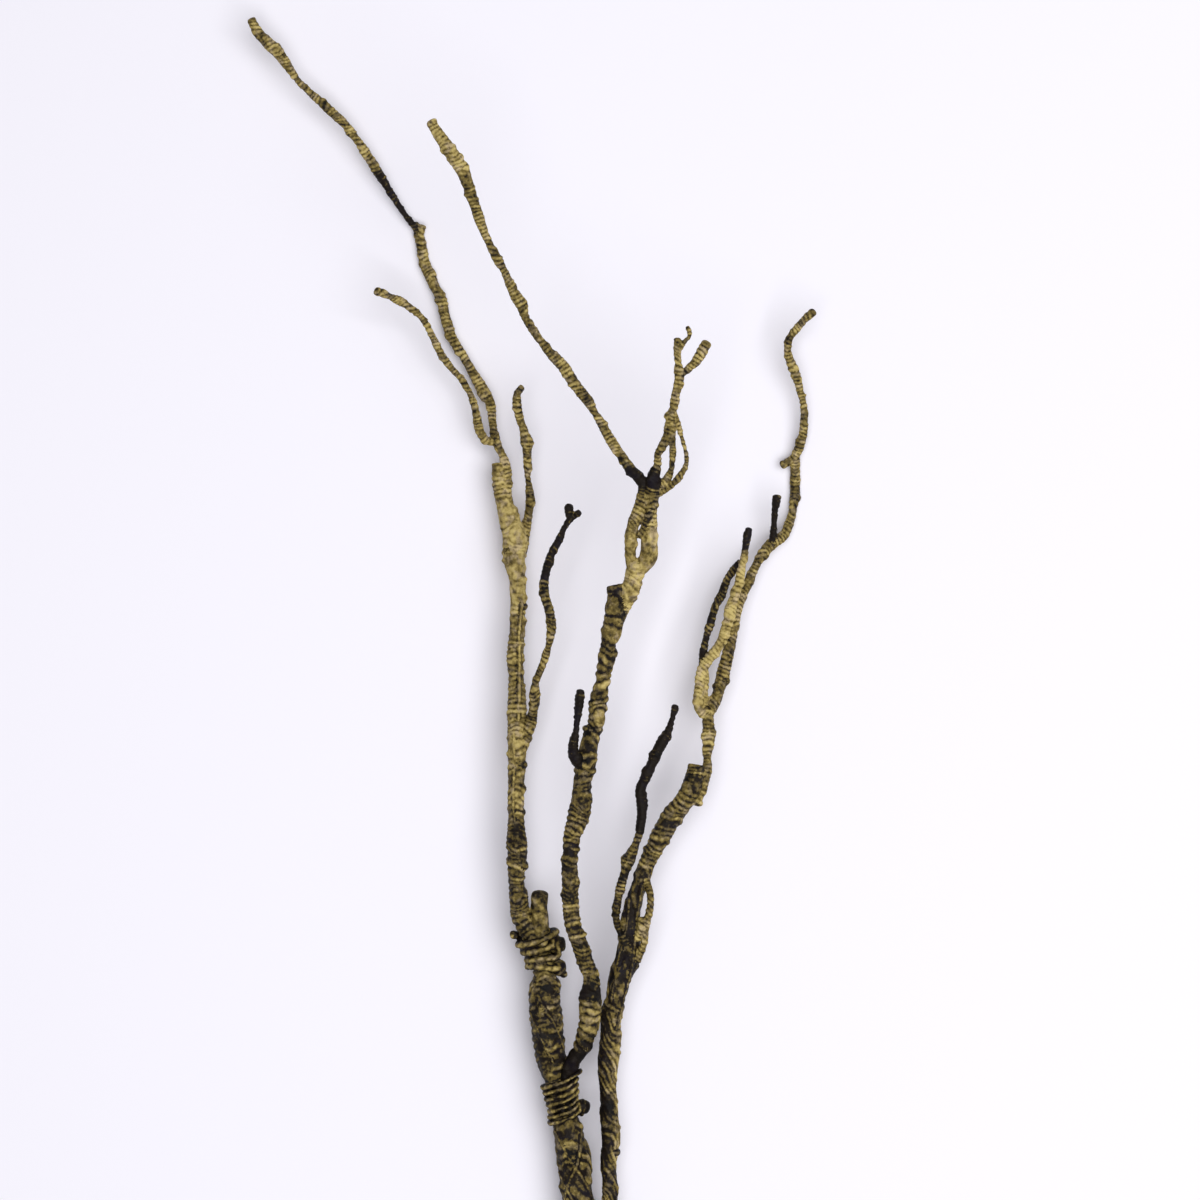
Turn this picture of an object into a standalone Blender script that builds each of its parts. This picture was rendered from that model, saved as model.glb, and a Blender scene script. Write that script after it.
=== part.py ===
"""Twiggy branch, lying on a table: three cord-wound stems with side twigs, tied in three places.

X runs to the right, Y along the branch from its cut end towards the tips, Z up from the table.
The origin is on the table, in the middle of the flat spot under the cut end of the main stem.
Every route below is a hand-set line in millimetres: x, y, z of the stem's middle, then its radius.
"""

import math
import random

import bmesh
import bpy
from mathutils import Matrix, Vector

MM = 0.001

# Driving dimensions, in millimetres
GAP = 0.3
FACET_ALLOWANCE = 0.2
TABLE_BLOCK = (500.0, 900.0, 20.0)
TABLE_MIDDLE_Y = 315.0

# Sides round a stem or a twig, and the spacing of its rings
STEM_SIDES = 9
STRAND_SIDES = 8
TWIG_SIDES = 6
GROOVE_SIDES = 12
STEM_STEP = 4.4
TWIG_STEP = 5.2

# Cord of the bindings: its sides, its steps in each turn, and its clearance over the stems
CORD_SIDES = 5
CORD_STEPS = 16
CORD_CLEARANCE = 0.6
CURVE_STEP = 1.0
REACH = 20.0
PUSH = 0.1

# Relief of the wound cord: ridge height and lump height as shares of the radius. Ridges vary from
# the lowest, a share of the full height, to the full height
RIDGE = 0.09
LOWEST_RIDGE = 0.5
LUMP = 0.07
SLANT = 0.28
RELIEF_FADE = 4.0
END_ROUNDING = 0.8

# Knobs and knots: a knob's proportions and the axis it is turned about, a knot's sides and relief
KNOB_SHAPE = (1.0, 1.15, 0.9)
KNOB_AXIS = (1.0, 2.0, 3.0)
KNOT_SIDES = 8
KNOT_STEP = 2.5
KNOT_RELIEF = 0.6

# Each kind of small piece on a stem draws its relief from its own run of seeds
STRAND_SEEDS = 10
TWIG_SEEDS = 30
KNOB_SEEDS = 60

# Edges sharper than this many degrees show as creases
SHARP_ANGLE = 50.0
# Vertices nearer than this are one, in metres
MERGE_DISTANCE = 0.00002
# A loose scrap has at most this many vertices, which is fewer than a knob has
SCRAP_VERTICES = 8
# How far ahead along a stem its direction is read, for a binding
LOOK_AHEAD = 3.0

# Stretches of the main stem that stay smooth and round under a binding: lowest and highest y
FOOT_TIE = (40.0, 68.0)
CROTCH_TIE = (142.0, 168.0)
STUB_TIE = (212.0, 238.0)
# The right stem stays smooth until it is clear of the groove in the main stem
RIGHT_FOOT = (30.0, 92.0)

# The main stem, from its cut end up to the blunt end of its left fork
MAIN_STEM = [
    (0.0, -15.0, 8.0, 8.6),
    (-1.0, 12.0, 8.1, 8.4),
    (-3.0, 40.0, 11.0, 7.9),
    (-5.0, 65.0, 13.0, 7.8),
    (-9.0, 90.0, 15.0, 8.2),
    (-12.2, 112.0, 16.0, 8.1),
    (-13.2, 124.0, 16.5, 8.5),
    (-15.5, 135.0, 17.0, 7.6),
    (-16.3, 140.0, 17.2, 7.4),
    (-17.8, 147.0, 17.5, 5.7),
    (-21.6, 162.0, 18.5, 5.7),
    (-24.4, 173.0, 19.0, 7.5),
    (-26.0, 185.0, 20.0, 7.9),
    (-27.3, 197.0, 20.5, 8.2),
    (-27.8, 206.0, 21.0, 8.0),
    (-27.5, 212.5, 21.0, 7.8),
    (-27.8, 217.5, 21.2, 5.4),
    (-28.8, 226.0, 21.5, 5.0),
    (-33.6, 236.0, 22.0, 5.4),
    (-39.2, 246.0, 23.0, 5.1),
    (-41.0, 256.0, 23.5, 4.6),
    (-42.2, 265.0, 24.0, 4.1),
    (-41.5, 275.0, 24.0, 5.1),
    (-42.0, 286.0, 24.0, 5.1),
    (-42.2, 296.0, 24.0, 4.1),
    (-42.0, 312.0, 24.0, 4.2),
    (-41.8, 325.0, 23.5, 4.5),
    (-41.2, 336.0, 23.0, 5.3),
    (-41.5, 348.0, 22.5, 5.0),
    (-42.0, 364.0, 21.5, 4.2),
    (-42.6, 375.0, 21.0, 4.3),
    (-41.6, 390.0, 20.0, 3.9),
    (-41.3, 406.0, 19.0, 4.0),
    (-41.5, 415.0, 18.0, 4.3),
    (-42.9, 425.0, 17.0, 5.5),
    (-43.0, 436.0, 16.0, 6.2),
    (-45.3, 445.0, 15.0, 5.2),
    (-49.0, 456.0, 14.5, 4.0),
    (-51.0, 466.0, 14.0, 3.6),
    (-51.6, 473.5, 13.5, 3.3),
]

# The blunt stub beside the main stem, tied in at the stub binding
STUB = [
    (-31.0, 230.0, 22.5, 4.6),
    (-29.6, 240.0, 24.5, 4.4),
    (-30.5, 249.0, 26.0, 4.1),
    (-30.0, 257.5, 27.0, 4.3),
]

LONG_LEFT_TWIG = [
    (-45.0, 442.0, 15.0, 3.2),
    (-47.2, 458.0, 14.5, 3.1),
    (-47.2, 469.0, 13.5, 3.0),
    (-48.2, 475.5, 12.5, 2.2),
    (-51.5, 483.0, 11.5, 2.1),
    (-53.3, 488.0, 11.0, 2.5),
    (-54.3, 496.0, 10.0, 2.0),
    (-55.6, 505.0, 9.0, 2.7),
    (-61.5, 515.0, 8.0, 2.8),
    (-67.2, 525.0, 7.0, 2.3),
    (-73.5, 535.0, 6.0, 2.5),
    (-77.2, 545.0, 5.0, 2.8),
    (-79.5, 555.0, 4.0, 2.6),
    (-84.0, 565.0, 3.2, 2.8),
    (-88.5, 575.0, 2.2, 2.7),
    (-90.6, 586.0, 2.0, 2.6),
    (-92.5, 592.5, 2.8, 2.2),
    (-96.0, 596.0, 4.0, 1.6),
    (-102.2, 605.0, 6.0, 1.6),
    (-108.4, 615.0, 8.0, 2.0),
    (-114.8, 625.0, 9.5, 2.4),
    (-121.2, 635.0, 11.0, 2.2),
    (-129.0, 645.0, 12.5, 2.2),
    (-139.7, 655.0, 14.0, 2.3),
    (-150.8, 665.0, 15.0, 1.9),
    (-158.0, 675.0, 16.0, 2.4),
    (-161.5, 680.0, 16.5, 3.0),
    (-167.5, 685.5, 17.0, 3.0),
    (-172.0, 690.5, 17.5, 2.8),
    (-175.2, 696.6, 18.0, 2.5),
]

SHORT_LEFT_TWIG = [
    (-53.0, 485.0, 11.0, 2.0),
    (-57.4, 485.5, 12.5, 2.2),
    (-60.4, 489.5, 14.0, 2.2),
    (-61.9, 497.0, 15.0, 2.0),
    (-63.9, 505.0, 16.0, 1.9),
    (-69.0, 515.0, 17.5, 1.7),
    (-77.2, 524.5, 19.0, 1.9),
    (-80.9, 530.5, 20.0, 1.9),
    (-84.5, 538.0, 21.0, 1.8),
    (-88.7, 546.0, 23.0, 1.8),
    (-96.2, 552.5, 25.0, 1.9),
    (-100.2, 555.0, 26.0, 2.4),
    (-105.7, 557.5, 27.5, 1.9),
    (-112.2, 560.0, 29.5, 2.2),
]

UPRIGHT_TWIG = [
    (-41.5, 422.0, 15.0, 2.4),
    (-38.2, 431.0, 11.0, 2.0),
    (-36.8, 442.0, 10.5, 2.2),
    (-35.3, 452.0, 12.0, 2.3),
    (-35.0, 458.0, 14.0, 2.1),
    (-36.2, 466.0, 16.0, 1.8),
    (-36.5, 476.0, 19.0, 2.1),
    (-36.9, 484.5, 21.0, 3.0),
    (-38.5, 490.5, 22.5, 2.3),
    (-40.7, 498.0, 24.5, 2.2),
    (-41.7, 506.0, 26.5, 2.1),
    (-40.8, 510.0, 27.5, 2.0),
    (-39.0, 511.5, 28.0, 1.9),
]

DARK_TWIG = [
    (-38.5, 334.0, 24.0, 2.8),
    (-35.0, 342.5, 26.5, 3.0),
    (-33.5, 349.5, 29.0, 2.4),
    (-32.3, 356.5, 31.0, 2.7),
    (-32.5, 363.0, 32.5, 2.1),
    (-28.0, 375.0, 36.0, 1.8),
    (-25.3, 384.0, 38.5, 1.9),
    (-24.5, 392.0, 40.0, 2.4),
    (-25.5, 400.0, 42.0, 2.3),
    (-27.6, 408.0, 44.0, 2.5),
    (-27.5, 416.0, 46.0, 2.4),
    (-24.5, 427.0, 49.0, 2.2),
    (-20.5, 434.5, 50.5, 2.1),
    (-18.3, 440.0, 52.0, 1.5),
    (-15.6, 444.0, 53.0, 1.8),
    (-12.6, 446.5, 54.0, 1.5),
    (-10.4, 448.6, 55.0, 2.1),
]

# The middle stem: a tongue let into the main stem under the crotch binding, then up to its blunt end
MIDDLE_STEM = [
    (-15.0, 145.5, 20.5, 2.5),
    (-16.6, 156.0, 21.5, 3.0),
    (-16.9, 165.0, 22.5, 3.4),
    (-14.0, 173.0, 24.5, 4.0),
    (-9.5, 179.5, 27.0, 4.5),
    (-6.8, 188.0, 30.0, 5.1),
    (-4.9, 197.0, 33.0, 5.3),
    (-5.1, 206.0, 35.0, 5.6),
    (-4.4, 216.0, 37.0, 4.1),
    (-7.7, 225.0, 39.0, 4.2),
    (-11.0, 235.0, 41.0, 4.1),
    (-14.0, 245.0, 43.0, 4.2),
    (-14.8, 255.0, 44.5, 4.0),
    (-14.9, 265.0, 46.0, 4.4),
    (-15.2, 275.0, 47.5, 4.0),
    (-14.0, 286.0, 49.0, 3.9),
    (-11.3, 295.0, 50.5, 5.2),
    (-9.2, 304.0, 51.5, 5.4),
    (-8.7, 314.0, 53.0, 4.6),
    (-6.6, 324.0, 54.5, 5.1),
    (-4.8, 334.0, 56.0, 4.5),
    (-2.0, 345.0, 57.5, 4.3),
    (-0.8, 355.0, 59.0, 4.5),
    (1.6, 365.0, 60.5, 3.6),
    (2.9, 375.0, 61.5, 3.9),
    (4.4, 385.0, 63.0, 4.3),
    (7.2, 395.0, 64.0, 5.2),
    (8.4, 402.5, 65.0, 5.9),
    (8.4, 407.5, 65.3, 4.7),
    (7.6, 412.0, 65.5, 4.5),
]

MIDDLE_NECK = [
    (9.0, 399.0, 64.5, 4.0),
    (14.9, 409.0, 66.5, 4.8),
    (16.9, 417.0, 68.0, 4.7),
    (18.6, 422.5, 69.5, 4.8),
]

# Two strands that part over a slit; the left one runs on into the longest twig
MIDDLE_LEFT_STRAND = [
    (17.0, 417.0, 68.5, 3.4),
    (15.2, 426.0, 70.0, 3.0),
    (15.3, 433.0, 71.0, 3.1),
    (15.7, 440.0, 72.0, 3.2),
    (18.5, 447.0, 73.0, 3.1),
    (20.3, 453.5, 74.0, 3.0),
    (21.3, 459.5, 75.0, 2.5),
    (20.8, 464.0, 75.7, 2.6),
    (16.6, 468.3, 76.5, 2.9),
    (9.7, 477.5, 78.0, 2.5),
    (5.0, 485.0, 79.0, 2.6),
    (-1.5, 496.0, 81.0, 2.1),
    (-6.0, 503.5, 82.0, 2.6),
    (-11.5, 510.5, 83.0, 2.6),
    (-16.0, 517.5, 84.0, 2.9),
    (-21.5, 524.0, 85.0, 3.0),
    (-26.5, 529.5, 86.0, 2.4),
    (-35.8, 542.5, 88.0, 2.0),
    (-39.8, 552.0, 89.0, 2.9),
    (-43.3, 558.5, 89.5, 2.5),
    (-47.0, 566.5, 90.0, 1.9),
    (-51.2, 574.5, 90.5, 2.4),
    (-55.5, 583.0, 91.0, 2.0),
    (-59.4, 592.6, 91.5, 2.4),
    (-63.0, 603.0, 92.0, 2.8),
    (-66.6, 614.4, 92.5, 3.3),
    (-72.2, 623.8, 92.5, 3.5),
    (-78.4, 632.8, 92.5, 3.1),
    (-83.4, 640.9, 92.5, 2.4),
]

MIDDLE_RIGHT_STRAND = [
    (17.5, 418.0, 68.5, 3.4),
    (22.9, 424.5, 70.0, 4.4),
    (24.6, 430.5, 71.0, 4.4),
    (24.4, 438.0, 72.0, 4.0),
    (24.8, 445.0, 73.0, 3.6),
    (25.2, 452.0, 74.5, 3.4),
    (26.2, 459.0, 76.0, 3.7),
    (26.5, 466.0, 77.5, 3.4),
    (28.5, 472.0, 79.0, 1.9),
    (28.3, 477.0, 80.0, 2.0),
    (31.0, 481.5, 81.0, 2.4),
    (34.3, 488.0, 81.0, 3.0),
    (35.1, 495.0, 81.0, 2.3),
    (37.3, 505.0, 81.0, 2.0),
    (39.2, 516.0, 81.0, 2.3),
    (38.6, 523.0, 81.0, 1.6),
    (38.3, 531.0, 81.0, 1.9),
    (38.3, 534.0, 81.0, 2.0),
]

# A thin strand that crosses the slit, from the right strand down to the left one
CROSSING_STRAND = [
    (26.4, 453.0, 76.0, 1.6),
    (24.6, 447.5, 76.3, 1.8),
    (22.4, 442.0, 75.4, 1.8),
    (19.0, 436.5, 73.2, 1.7),
]

LOOP_STRAND = [
    (27.5, 459.0, 75.5, 2.6),
    (32.5, 463.5, 75.5, 2.4),
    (35.2, 469.0, 76.0, 1.9),
    (36.0, 477.0, 78.0, 1.7),
    (35.5, 488.0, 80.5, 2.0),
]

OUTER_LOOP = [
    (28.0, 457.5, 75.0, 2.2),
    (34.0, 460.8, 73.5, 1.7),
    (39.0, 466.0, 73.0, 1.8),
    (42.6, 472.0, 74.0, 1.5),
    (42.4, 478.0, 76.0, 1.3),
    (39.8, 488.0, 79.0, 1.2),
    (38.3, 494.0, 80.3, 1.2),
    (36.3, 498.0, 81.0, 1.3),
]

FORK_TWIG = [
    (39.3, 515.5, 81.0, 1.9),
    (43.5, 519.5, 82.0, 1.9),
    (47.8, 523.3, 83.0, 2.5),
    (50.5, 528.0, 84.0, 2.7),
    (52.7, 532.0, 85.0, 2.6),
]

LITTLE_FORK = [
    (38.6, 529.0, 81.0, 1.5),
    (42.0, 533.0, 82.0, 1.3),
    (44.4, 535.8, 82.5, 1.3),
    (43.2, 540.0, 83.5, 1.0),
]

MIDDLE_BUD_TWIG = [
    (-8.5, 321.0, 55.5, 2.4),
    (-12.5, 327.0, 59.0, 2.9),
    (-13.2, 332.5, 61.0, 2.5),
    (-11.6, 341.0, 63.0, 1.8),
    (-10.9, 349.0, 64.5, 1.9),
    (-10.0, 356.5, 66.0, 2.5),
    (-9.6, 359.7, 66.5, 2.3),
]

# The right stem: a tongue let into the main stem under the foot binding, then up to its blunt end
RIGHT_STEM = [
    (2.2, 38.0, 14.3, 3.2),
    (1.6, 52.0, 16.0, 3.5),
    (2.6, 68.0, 17.6, 3.8),
    (5.0, 88.0, 18.0, 4.0),
    (4.8, 112.0, 18.0, 4.0),
    (4.3, 124.0, 18.5, 4.1),
    (5.3, 135.0, 19.0, 4.9),
    (4.7, 147.0, 19.5, 4.5),
    (3.8, 160.0, 20.5, 4.3),
    (4.2, 174.0, 21.0, 5.4),
    (5.2, 183.0, 21.5, 5.4),
    (5.6, 194.0, 22.5, 5.1),
    (8.0, 205.0, 23.0, 5.2),
    (10.0, 215.0, 24.0, 5.8),
    (13.4, 225.0, 25.0, 5.9),
    (15.0, 236.0, 26.0, 5.3),
    (15.3, 246.0, 27.0, 4.6),
    (17.8, 256.0, 28.0, 4.1),
    (21.0, 266.0, 29.0, 4.1),
    (25.0, 276.0, 30.0, 4.1),
    (29.0, 284.0, 30.5, 5.0),
    (35.0, 295.0, 31.0, 5.3),
    (42.0, 304.0, 30.5, 5.1),
    (46.6, 313.0, 29.5, 4.9),
    (48.2, 322.0, 29.0, 4.3),
]

RIGHT_TWIG = [
    (48.0, 303.0, 28.5, 2.6),
    (52.0, 313.0, 27.0, 2.8),
    (53.8, 321.0, 25.5, 2.5),
    (53.9, 326.5, 25.0, 2.1),
    (54.5, 335.0, 24.0, 3.1),
    (54.2, 344.0, 23.0, 3.0),
    (53.6, 350.0, 22.5, 3.9),
]

YELLOW_STRAND = [
    (53.5, 347.5, 23.0, 3.0),
    (50.6, 349.5, 24.0, 2.7),
    (49.4, 354.5, 24.5, 2.9),
    (49.8, 361.0, 25.0, 2.5),
    (51.0, 369.0, 25.7, 2.5),
    (56.0, 377.0, 27.0, 2.6),
    (60.5, 383.5, 27.5, 2.6),
    (63.2, 391.0, 27.5, 2.7),
    (65.6, 400.0, 27.0, 2.9),
    (68.3, 409.0, 26.5, 2.5),
    (71.0, 420.0, 27.0, 2.1),
    (72.9, 430.0, 28.0, 1.7),
    (73.5, 436.0, 28.5, 2.2),
    (74.8, 440.5, 29.0, 2.0),
]

THIN_STRAND = [
    (53.0, 350.0, 22.5, 1.7),
    (53.0, 358.0, 22.5, 1.5),
    (53.6, 365.0, 24.0, 1.4),
    (52.6, 371.5, 25.5, 1.5),
]

RIGHT_STRAND = [
    (54.5, 348.5, 22.5, 3.0),
    (58.4, 355.5, 21.5, 2.9),
    (60.6, 363.0, 21.0, 3.3),
    (62.6, 372.0, 20.0, 3.3),
    (65.2, 381.0, 19.5, 3.0),
    (67.5, 392.0, 18.5, 2.4),
    (70.0, 403.0, 17.0, 2.4),
    (74.7, 414.0, 14.5, 2.6),
    (78.2, 422.0, 13.0, 2.4),
    (82.5, 429.0, 11.0, 2.8),
    (87.0, 433.5, 9.0, 3.0),
    (93.0, 438.0, 7.0, 2.5),
    (96.6, 448.0, 4.0, 2.3),
    (98.3, 458.0, 2.1, 2.7),
    (98.6, 467.0, 2.0, 2.5),
    (98.6, 474.0, 3.4, 2.3),
    (98.8, 478.5, 5.4, 2.2),
]

RIGHT_TIP_TWIG = [
    (91.8, 473.0, 5.0, 2.0),
    (94.8, 474.7, 5.0, 2.0),
    (98.4, 477.5, 5.2, 2.0),
    (100.6, 482.0, 6.0, 2.4),
    (102.5, 490.0, 7.5, 2.3),
    (103.0, 498.0, 9.0, 2.0),
    (101.8, 507.0, 10.5, 1.9),
    (98.2, 519.0, 13.5, 2.3),
    (94.6, 529.0, 16.0, 2.1),
    (95.0, 536.0, 17.5, 2.1),
    (99.5, 542.0, 19.5, 1.9),
    (104.0, 547.0, 21.3, 2.1),
    (107.3, 549.7, 22.5, 2.2),
]

BUD_TWIG = [
    (87.0, 432.5, 9.5, 2.1),
    (87.5, 440.0, 12.0, 1.8),
    (88.1, 448.0, 14.0, 1.7),
    (88.6, 454.0, 15.7, 2.1),
    (88.7, 457.0, 16.3, 2.3),
]

BACK_TWIG = [
    (50.8, 369.0, 25.5, 1.9),
    (52.0, 378.5, 24.5, 2.1),
    (53.2, 386.0, 23.0, 1.9),
    (55.5, 393.0, 22.0, 2.2),
    (58.0, 401.5, 21.5, 1.9),
    (61.5, 408.5, 21.5, 2.3),
    (65.0, 417.5, 22.0, 2.1),
    (70.5, 424.0, 24.0, 1.8),
]

SIDE_TWIG = [
    (15.0, 229.0, 28.0, 2.4),
    (10.3, 237.5, 31.0, 1.8),
    (8.0, 245.0, 33.0, 1.8),
    (8.4, 252.0, 34.5, 2.3),
    (11.5, 266.0, 37.0, 2.2),
    (14.5, 275.5, 38.5, 3.3),
    (18.0, 283.0, 39.5, 2.0),
    (20.3, 292.0, 40.5, 2.3),
    (21.0, 302.0, 41.5, 2.8),
    (20.6, 311.0, 42.3, 2.8),
    (25.0, 321.0, 43.0, 2.6),
    (31.3, 334.5, 44.0, 3.0),
    (34.3, 340.0, 44.5, 1.8),
    (35.8, 345.0, 45.0, 1.5),
    (37.6, 352.0, 46.0, 1.9),
]

BOW_TWIG = [
    (18.5, 224.0, 28.0, 2.2),
    (22.2, 233.0, 30.5, 1.8),
    (23.4, 242.0, 32.0, 1.6),
    (25.2, 253.5, 33.0, 1.8),
    (24.4, 262.0, 32.0, 1.9),
    (21.0, 268.5, 29.5, 2.0),
]

# Short spurs and buds
SECOND_BUD = [
    (-15.3, 444.5, 53.2, 1.5),
    (-15.6, 450.5, 55.0, 2.7),
    (-15.5, 452.0, 55.3, 2.4),
]
BOW_BUD = [
    (18.5, 235.0, 29.5, 2.2),
    (20.4, 241.0, 31.5, 2.2),
    (20.6, 245.5, 32.5, 1.9),
]
LOOP_BUD = [
    (35.0, 495.5, 81.0, 1.8),
    (32.6, 496.8, 81.5, 1.5),
]
NODE_BUD = [
    (-91.0, 588.5, 3.2, 2.0),
    (-89.4, 593.5, 4.0, 1.9),
]

# Knobs on the stems: x, y, z of the middle, then the radius
MAIN_KNOBS = [
    (-37.8, 298.5, 25.0, 2.2),
    (-37.6, 310.5, 24.0, 2.2),
    (-37.2, 322.5, 25.0, 2.6),
    (-37.4, 272.0, 26.0, 3.0),
    (-36.6, 401.5, 20.0, 2.2),
    (-53.0, 463.0, 15.5, 2.3),
    (-34.6, 199.0, 22.0, 2.6),
    (-6.5, 123.0, 18.5, 3.0),
    (-19.5, 128.0, 18.5, 3.0),
    (-46.0, 354.0, 22.5, 2.4),
    (-46.0, 338.5, 23.5, 2.2),
    (-49.5, 429.0, 17.0, 2.2),
    (-49.8, 441.5, 17.0, 2.2),
    (7.0, 20.0, 11.0, 3.2),
    (-13.5, 78.0, 16.5, 3.2),
]
MIDDLE_KNOBS = [
    (-5.6, 180.5, 29.0, 3.6),
    (-1.8, 368.5, 61.0, 2.0),
    (-10.6, 280.5, 49.5, 2.3),
    (-18.0, 282.0, 49.0, 2.2),
    (-10.8, 264.0, 47.5, 2.8),
    (-17.0, 248.0, 44.0, 2.6),
    (-3.2, 320.0, 56.0, 2.8),
    (-6.2, 304.0, 53.0, 3.2),
    (-13.0, 309.0, 53.0, 2.6),
    (-5.0, 353.0, 60.0, 2.5),
    (-7.6, 341.0, 58.0, 2.4),
    (4.6, 408.5, 66.0, 2.8),
    (4.4, 402.0, 65.5, 2.6),
]
RIGHT_KNOBS = [
    (34.6, 283.0, 31.5, 2.4),
    (40.4, 293.4, 32.0, 2.5),
    (49.3, 304.0, 30.0, 2.4),
    (9.8, 127.0, 19.5, 2.2),
    (9.4, 181.0, 22.5, 2.6),
    (22.6, 280.5, 31.5, 2.2),
    (38.6, 301.0, 32.5, 2.6),
    (30.5, 293.0, 32.5, 2.4),
    (64.6, 364.0, 21.5, 2.0),
    (56.8, 362.0, 21.5, 1.8),
]

# Bindings: lowest y, number of turns, rise in each turn, lean towards the right side, cord radius
CROTCH_BINDING = {"start": 143.5, "turns": 7.0, "pitch": 3.0, "lean": 1.0, "radius": 1.2}
STUB_BINDING = {"start": 218.5, "turns": 4.5, "pitch": 4.4, "lean": -2.4, "radius": 1.9}
FOOT_BINDING = {"start": 44.0, "turns": 6.0, "pitch": 3.0, "lean": 0.6, "radius": 1.2}

# Knots that stand off to the right: root, then head, then the radius
CROTCH_KNOT = ((-11.3, 150.6, 18.5), (-6.6, 149.5, 18.8), 3.8)
STUB_KNOTS = (
    ((-22.4, 220.4, 22.5), (-18.6, 220.6, 23.0), 4.2),
    ((-24.8, 232.0, 23.5), (-18.8, 232.4, 24.0), 4.3),
)

PAINTED_BARK = {"colour": (0.17, 0.13, 0.055, 1.0), "roughness": 0.72}
BINDING_CORD = {"colour": (0.24, 0.19, 0.08, 1.0), "roughness": 0.7}


def clear_scene():
    for thing in list(bpy.data.objects):
        bpy.data.objects.remove(thing)


def material(name, colour, roughness):
    made = bpy.data.materials.new(name)
    made.use_nodes = True
    shader = made.node_tree.nodes["Principled BSDF"]
    shader.inputs["Base Color"].default_value = colour
    shader.inputs["Roughness"].default_value = roughness
    shader.inputs["Metallic"].default_value = 0.0
    return made


def blend_points(before, start, end, after, share):
    """One point of the Catmull-Rom curve from start to end."""
    mixed = []
    for a, b, c, d in zip(before, start, end, after):
        slope = (c - a) * share
        bow = (2 * a - 5 * b + 4 * c - d) * share**2
        sway = (3 * b - a - 3 * c + d) * share**3
        mixed.append(b + 0.5 * (slope + bow + sway))
    return mixed


def follow(route, step):
    """Middle points and radii along a smooth curve through the route, about a step apart."""
    padded = [route[0]] + list(route) + [route[-1]]
    points = []
    for index in range(len(route) - 1):
        before, start, end, after = padded[index : index + 4]
        length = (Vector(end[:3]) - Vector(start[:3])).length
        pieces = max(1, round(length / step))
        for piece in range(pieces):
            points.append(blend_points(before, start, end, after, piece / pieces))
    points.append(list(route[-1]))
    return [(Vector(point[:3]), point[3]) for point in points]


def frames_along(middles):
    """A tangent and two cross directions at each point, carried along without twist."""
    frames = []
    side = None
    for index, middle in enumerate(middles):
        ahead = middles[min(index + 1, len(middles) - 1)]
        behind = middles[max(index - 1, 0)]
        tangent = (ahead - behind).normalized()
        if side is None:
            side = tangent.cross(Vector((0, 0, 1))).normalized()
        side = (side - tangent * side.dot(tangent)).normalized()
        frames.append((tangent, side, tangent.cross(side)))
    return frames


def wound_share(y, quiet):
    """How much of the wound relief shows at this y: none inside a quiet stretch."""
    share = 1.0
    for low, high in quiet:
        outside = max(low - y, y - high)
        share = min(share, max(0.0, outside / RELIEF_FADE))
    return share


def add_ring(mesh, middle, frame, radius, sides, relief, dice):
    """A ring of vertices round the stem, lumpy and slanted like a turn of cord."""
    tangent, side, up = frame
    phase = dice.uniform(0, 2 * math.pi)
    ring = []
    for corner in range(sides):
        angle = 2 * math.pi * corner / sides
        lump = 1 + relief * LUMP * dice.uniform(-1, 1)
        lean = relief * SLANT * radius * math.sin(angle + phase)
        out = side * math.cos(angle) + up * math.sin(angle)
        ring.append(mesh.verts.new((middle + out * radius * lump + tangent * lean) * MM))
    return ring


def bridge(mesh, ring, following):
    count = len(ring)
    for corner in range(count):
        beyond = (corner + 1) % count
        mesh.faces.new((ring[corner], ring[beyond], following[beyond], following[corner]))


def wound_tube(name, route, sides, step, seed, quiet=(), extra=0.0, relief=1.0):
    """A closed stem along a route. Every second ring swells, as cord wound round it does."""
    dice = random.Random(seed)
    points = follow(route, step)
    frames = frames_along([middle for middle, _ in points])
    mesh = bmesh.new()
    rings = []
    last = len(points) - 1
    for index, ((middle, radius), frame) in enumerate(zip(points, frames)):
        share = relief * wound_share(middle.y, quiet)
        ridge = RIDGE if index % 2 else -RIDGE
        swell = 1 + share * ridge * dice.uniform(LOWEST_RIDGE, 1.0)
        at_end = index in (0, last)
        size = radius * swell * (END_ROUNDING if at_end else 1.0) + extra
        rings.append(add_ring(mesh, middle, frame, size, sides, 0 if at_end else share, dice))
    for ring, following in zip(rings, rings[1:]):
        bridge(mesh, ring, following)
    mesh.faces.new(rings[0][::-1])
    mesh.faces.new(rings[-1])
    bmesh.ops.recalc_face_normals(mesh, faces=mesh.faces)
    return object_from(name, mesh)


def object_from(name, mesh):
    data = bpy.data.meshes.new(name)
    mesh.to_mesh(data)
    mesh.free()
    made = bpy.data.objects.new(name, data)
    bpy.context.scene.collection.objects.link(made)
    return made


def knob(name, place, seed):
    """A lump of wound cord: a low-sided ball, turned at random."""
    x, y, z, radius = place
    dice = random.Random(seed)
    turn = Matrix.Rotation(dice.uniform(0, math.pi), 4, Vector(KNOB_AXIS).normalized())
    mesh = bmesh.new()
    bmesh.ops.create_icosphere(mesh, subdivisions=1, radius=radius * MM)
    bmesh.ops.scale(mesh, vec=KNOB_SHAPE, verts=mesh.verts)
    bmesh.ops.transform(mesh, matrix=Matrix.Translation(Vector((x, y, z)) * MM) @ turn, verts=mesh.verts)
    return object_from(name, mesh)


def apply_modifiers(thing):
    graph = bpy.context.evaluated_depsgraph_get()
    finished = bpy.data.meshes.new_from_object(thing.evaluated_get(graph))
    thing.modifiers.clear()
    thing.data = finished


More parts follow.
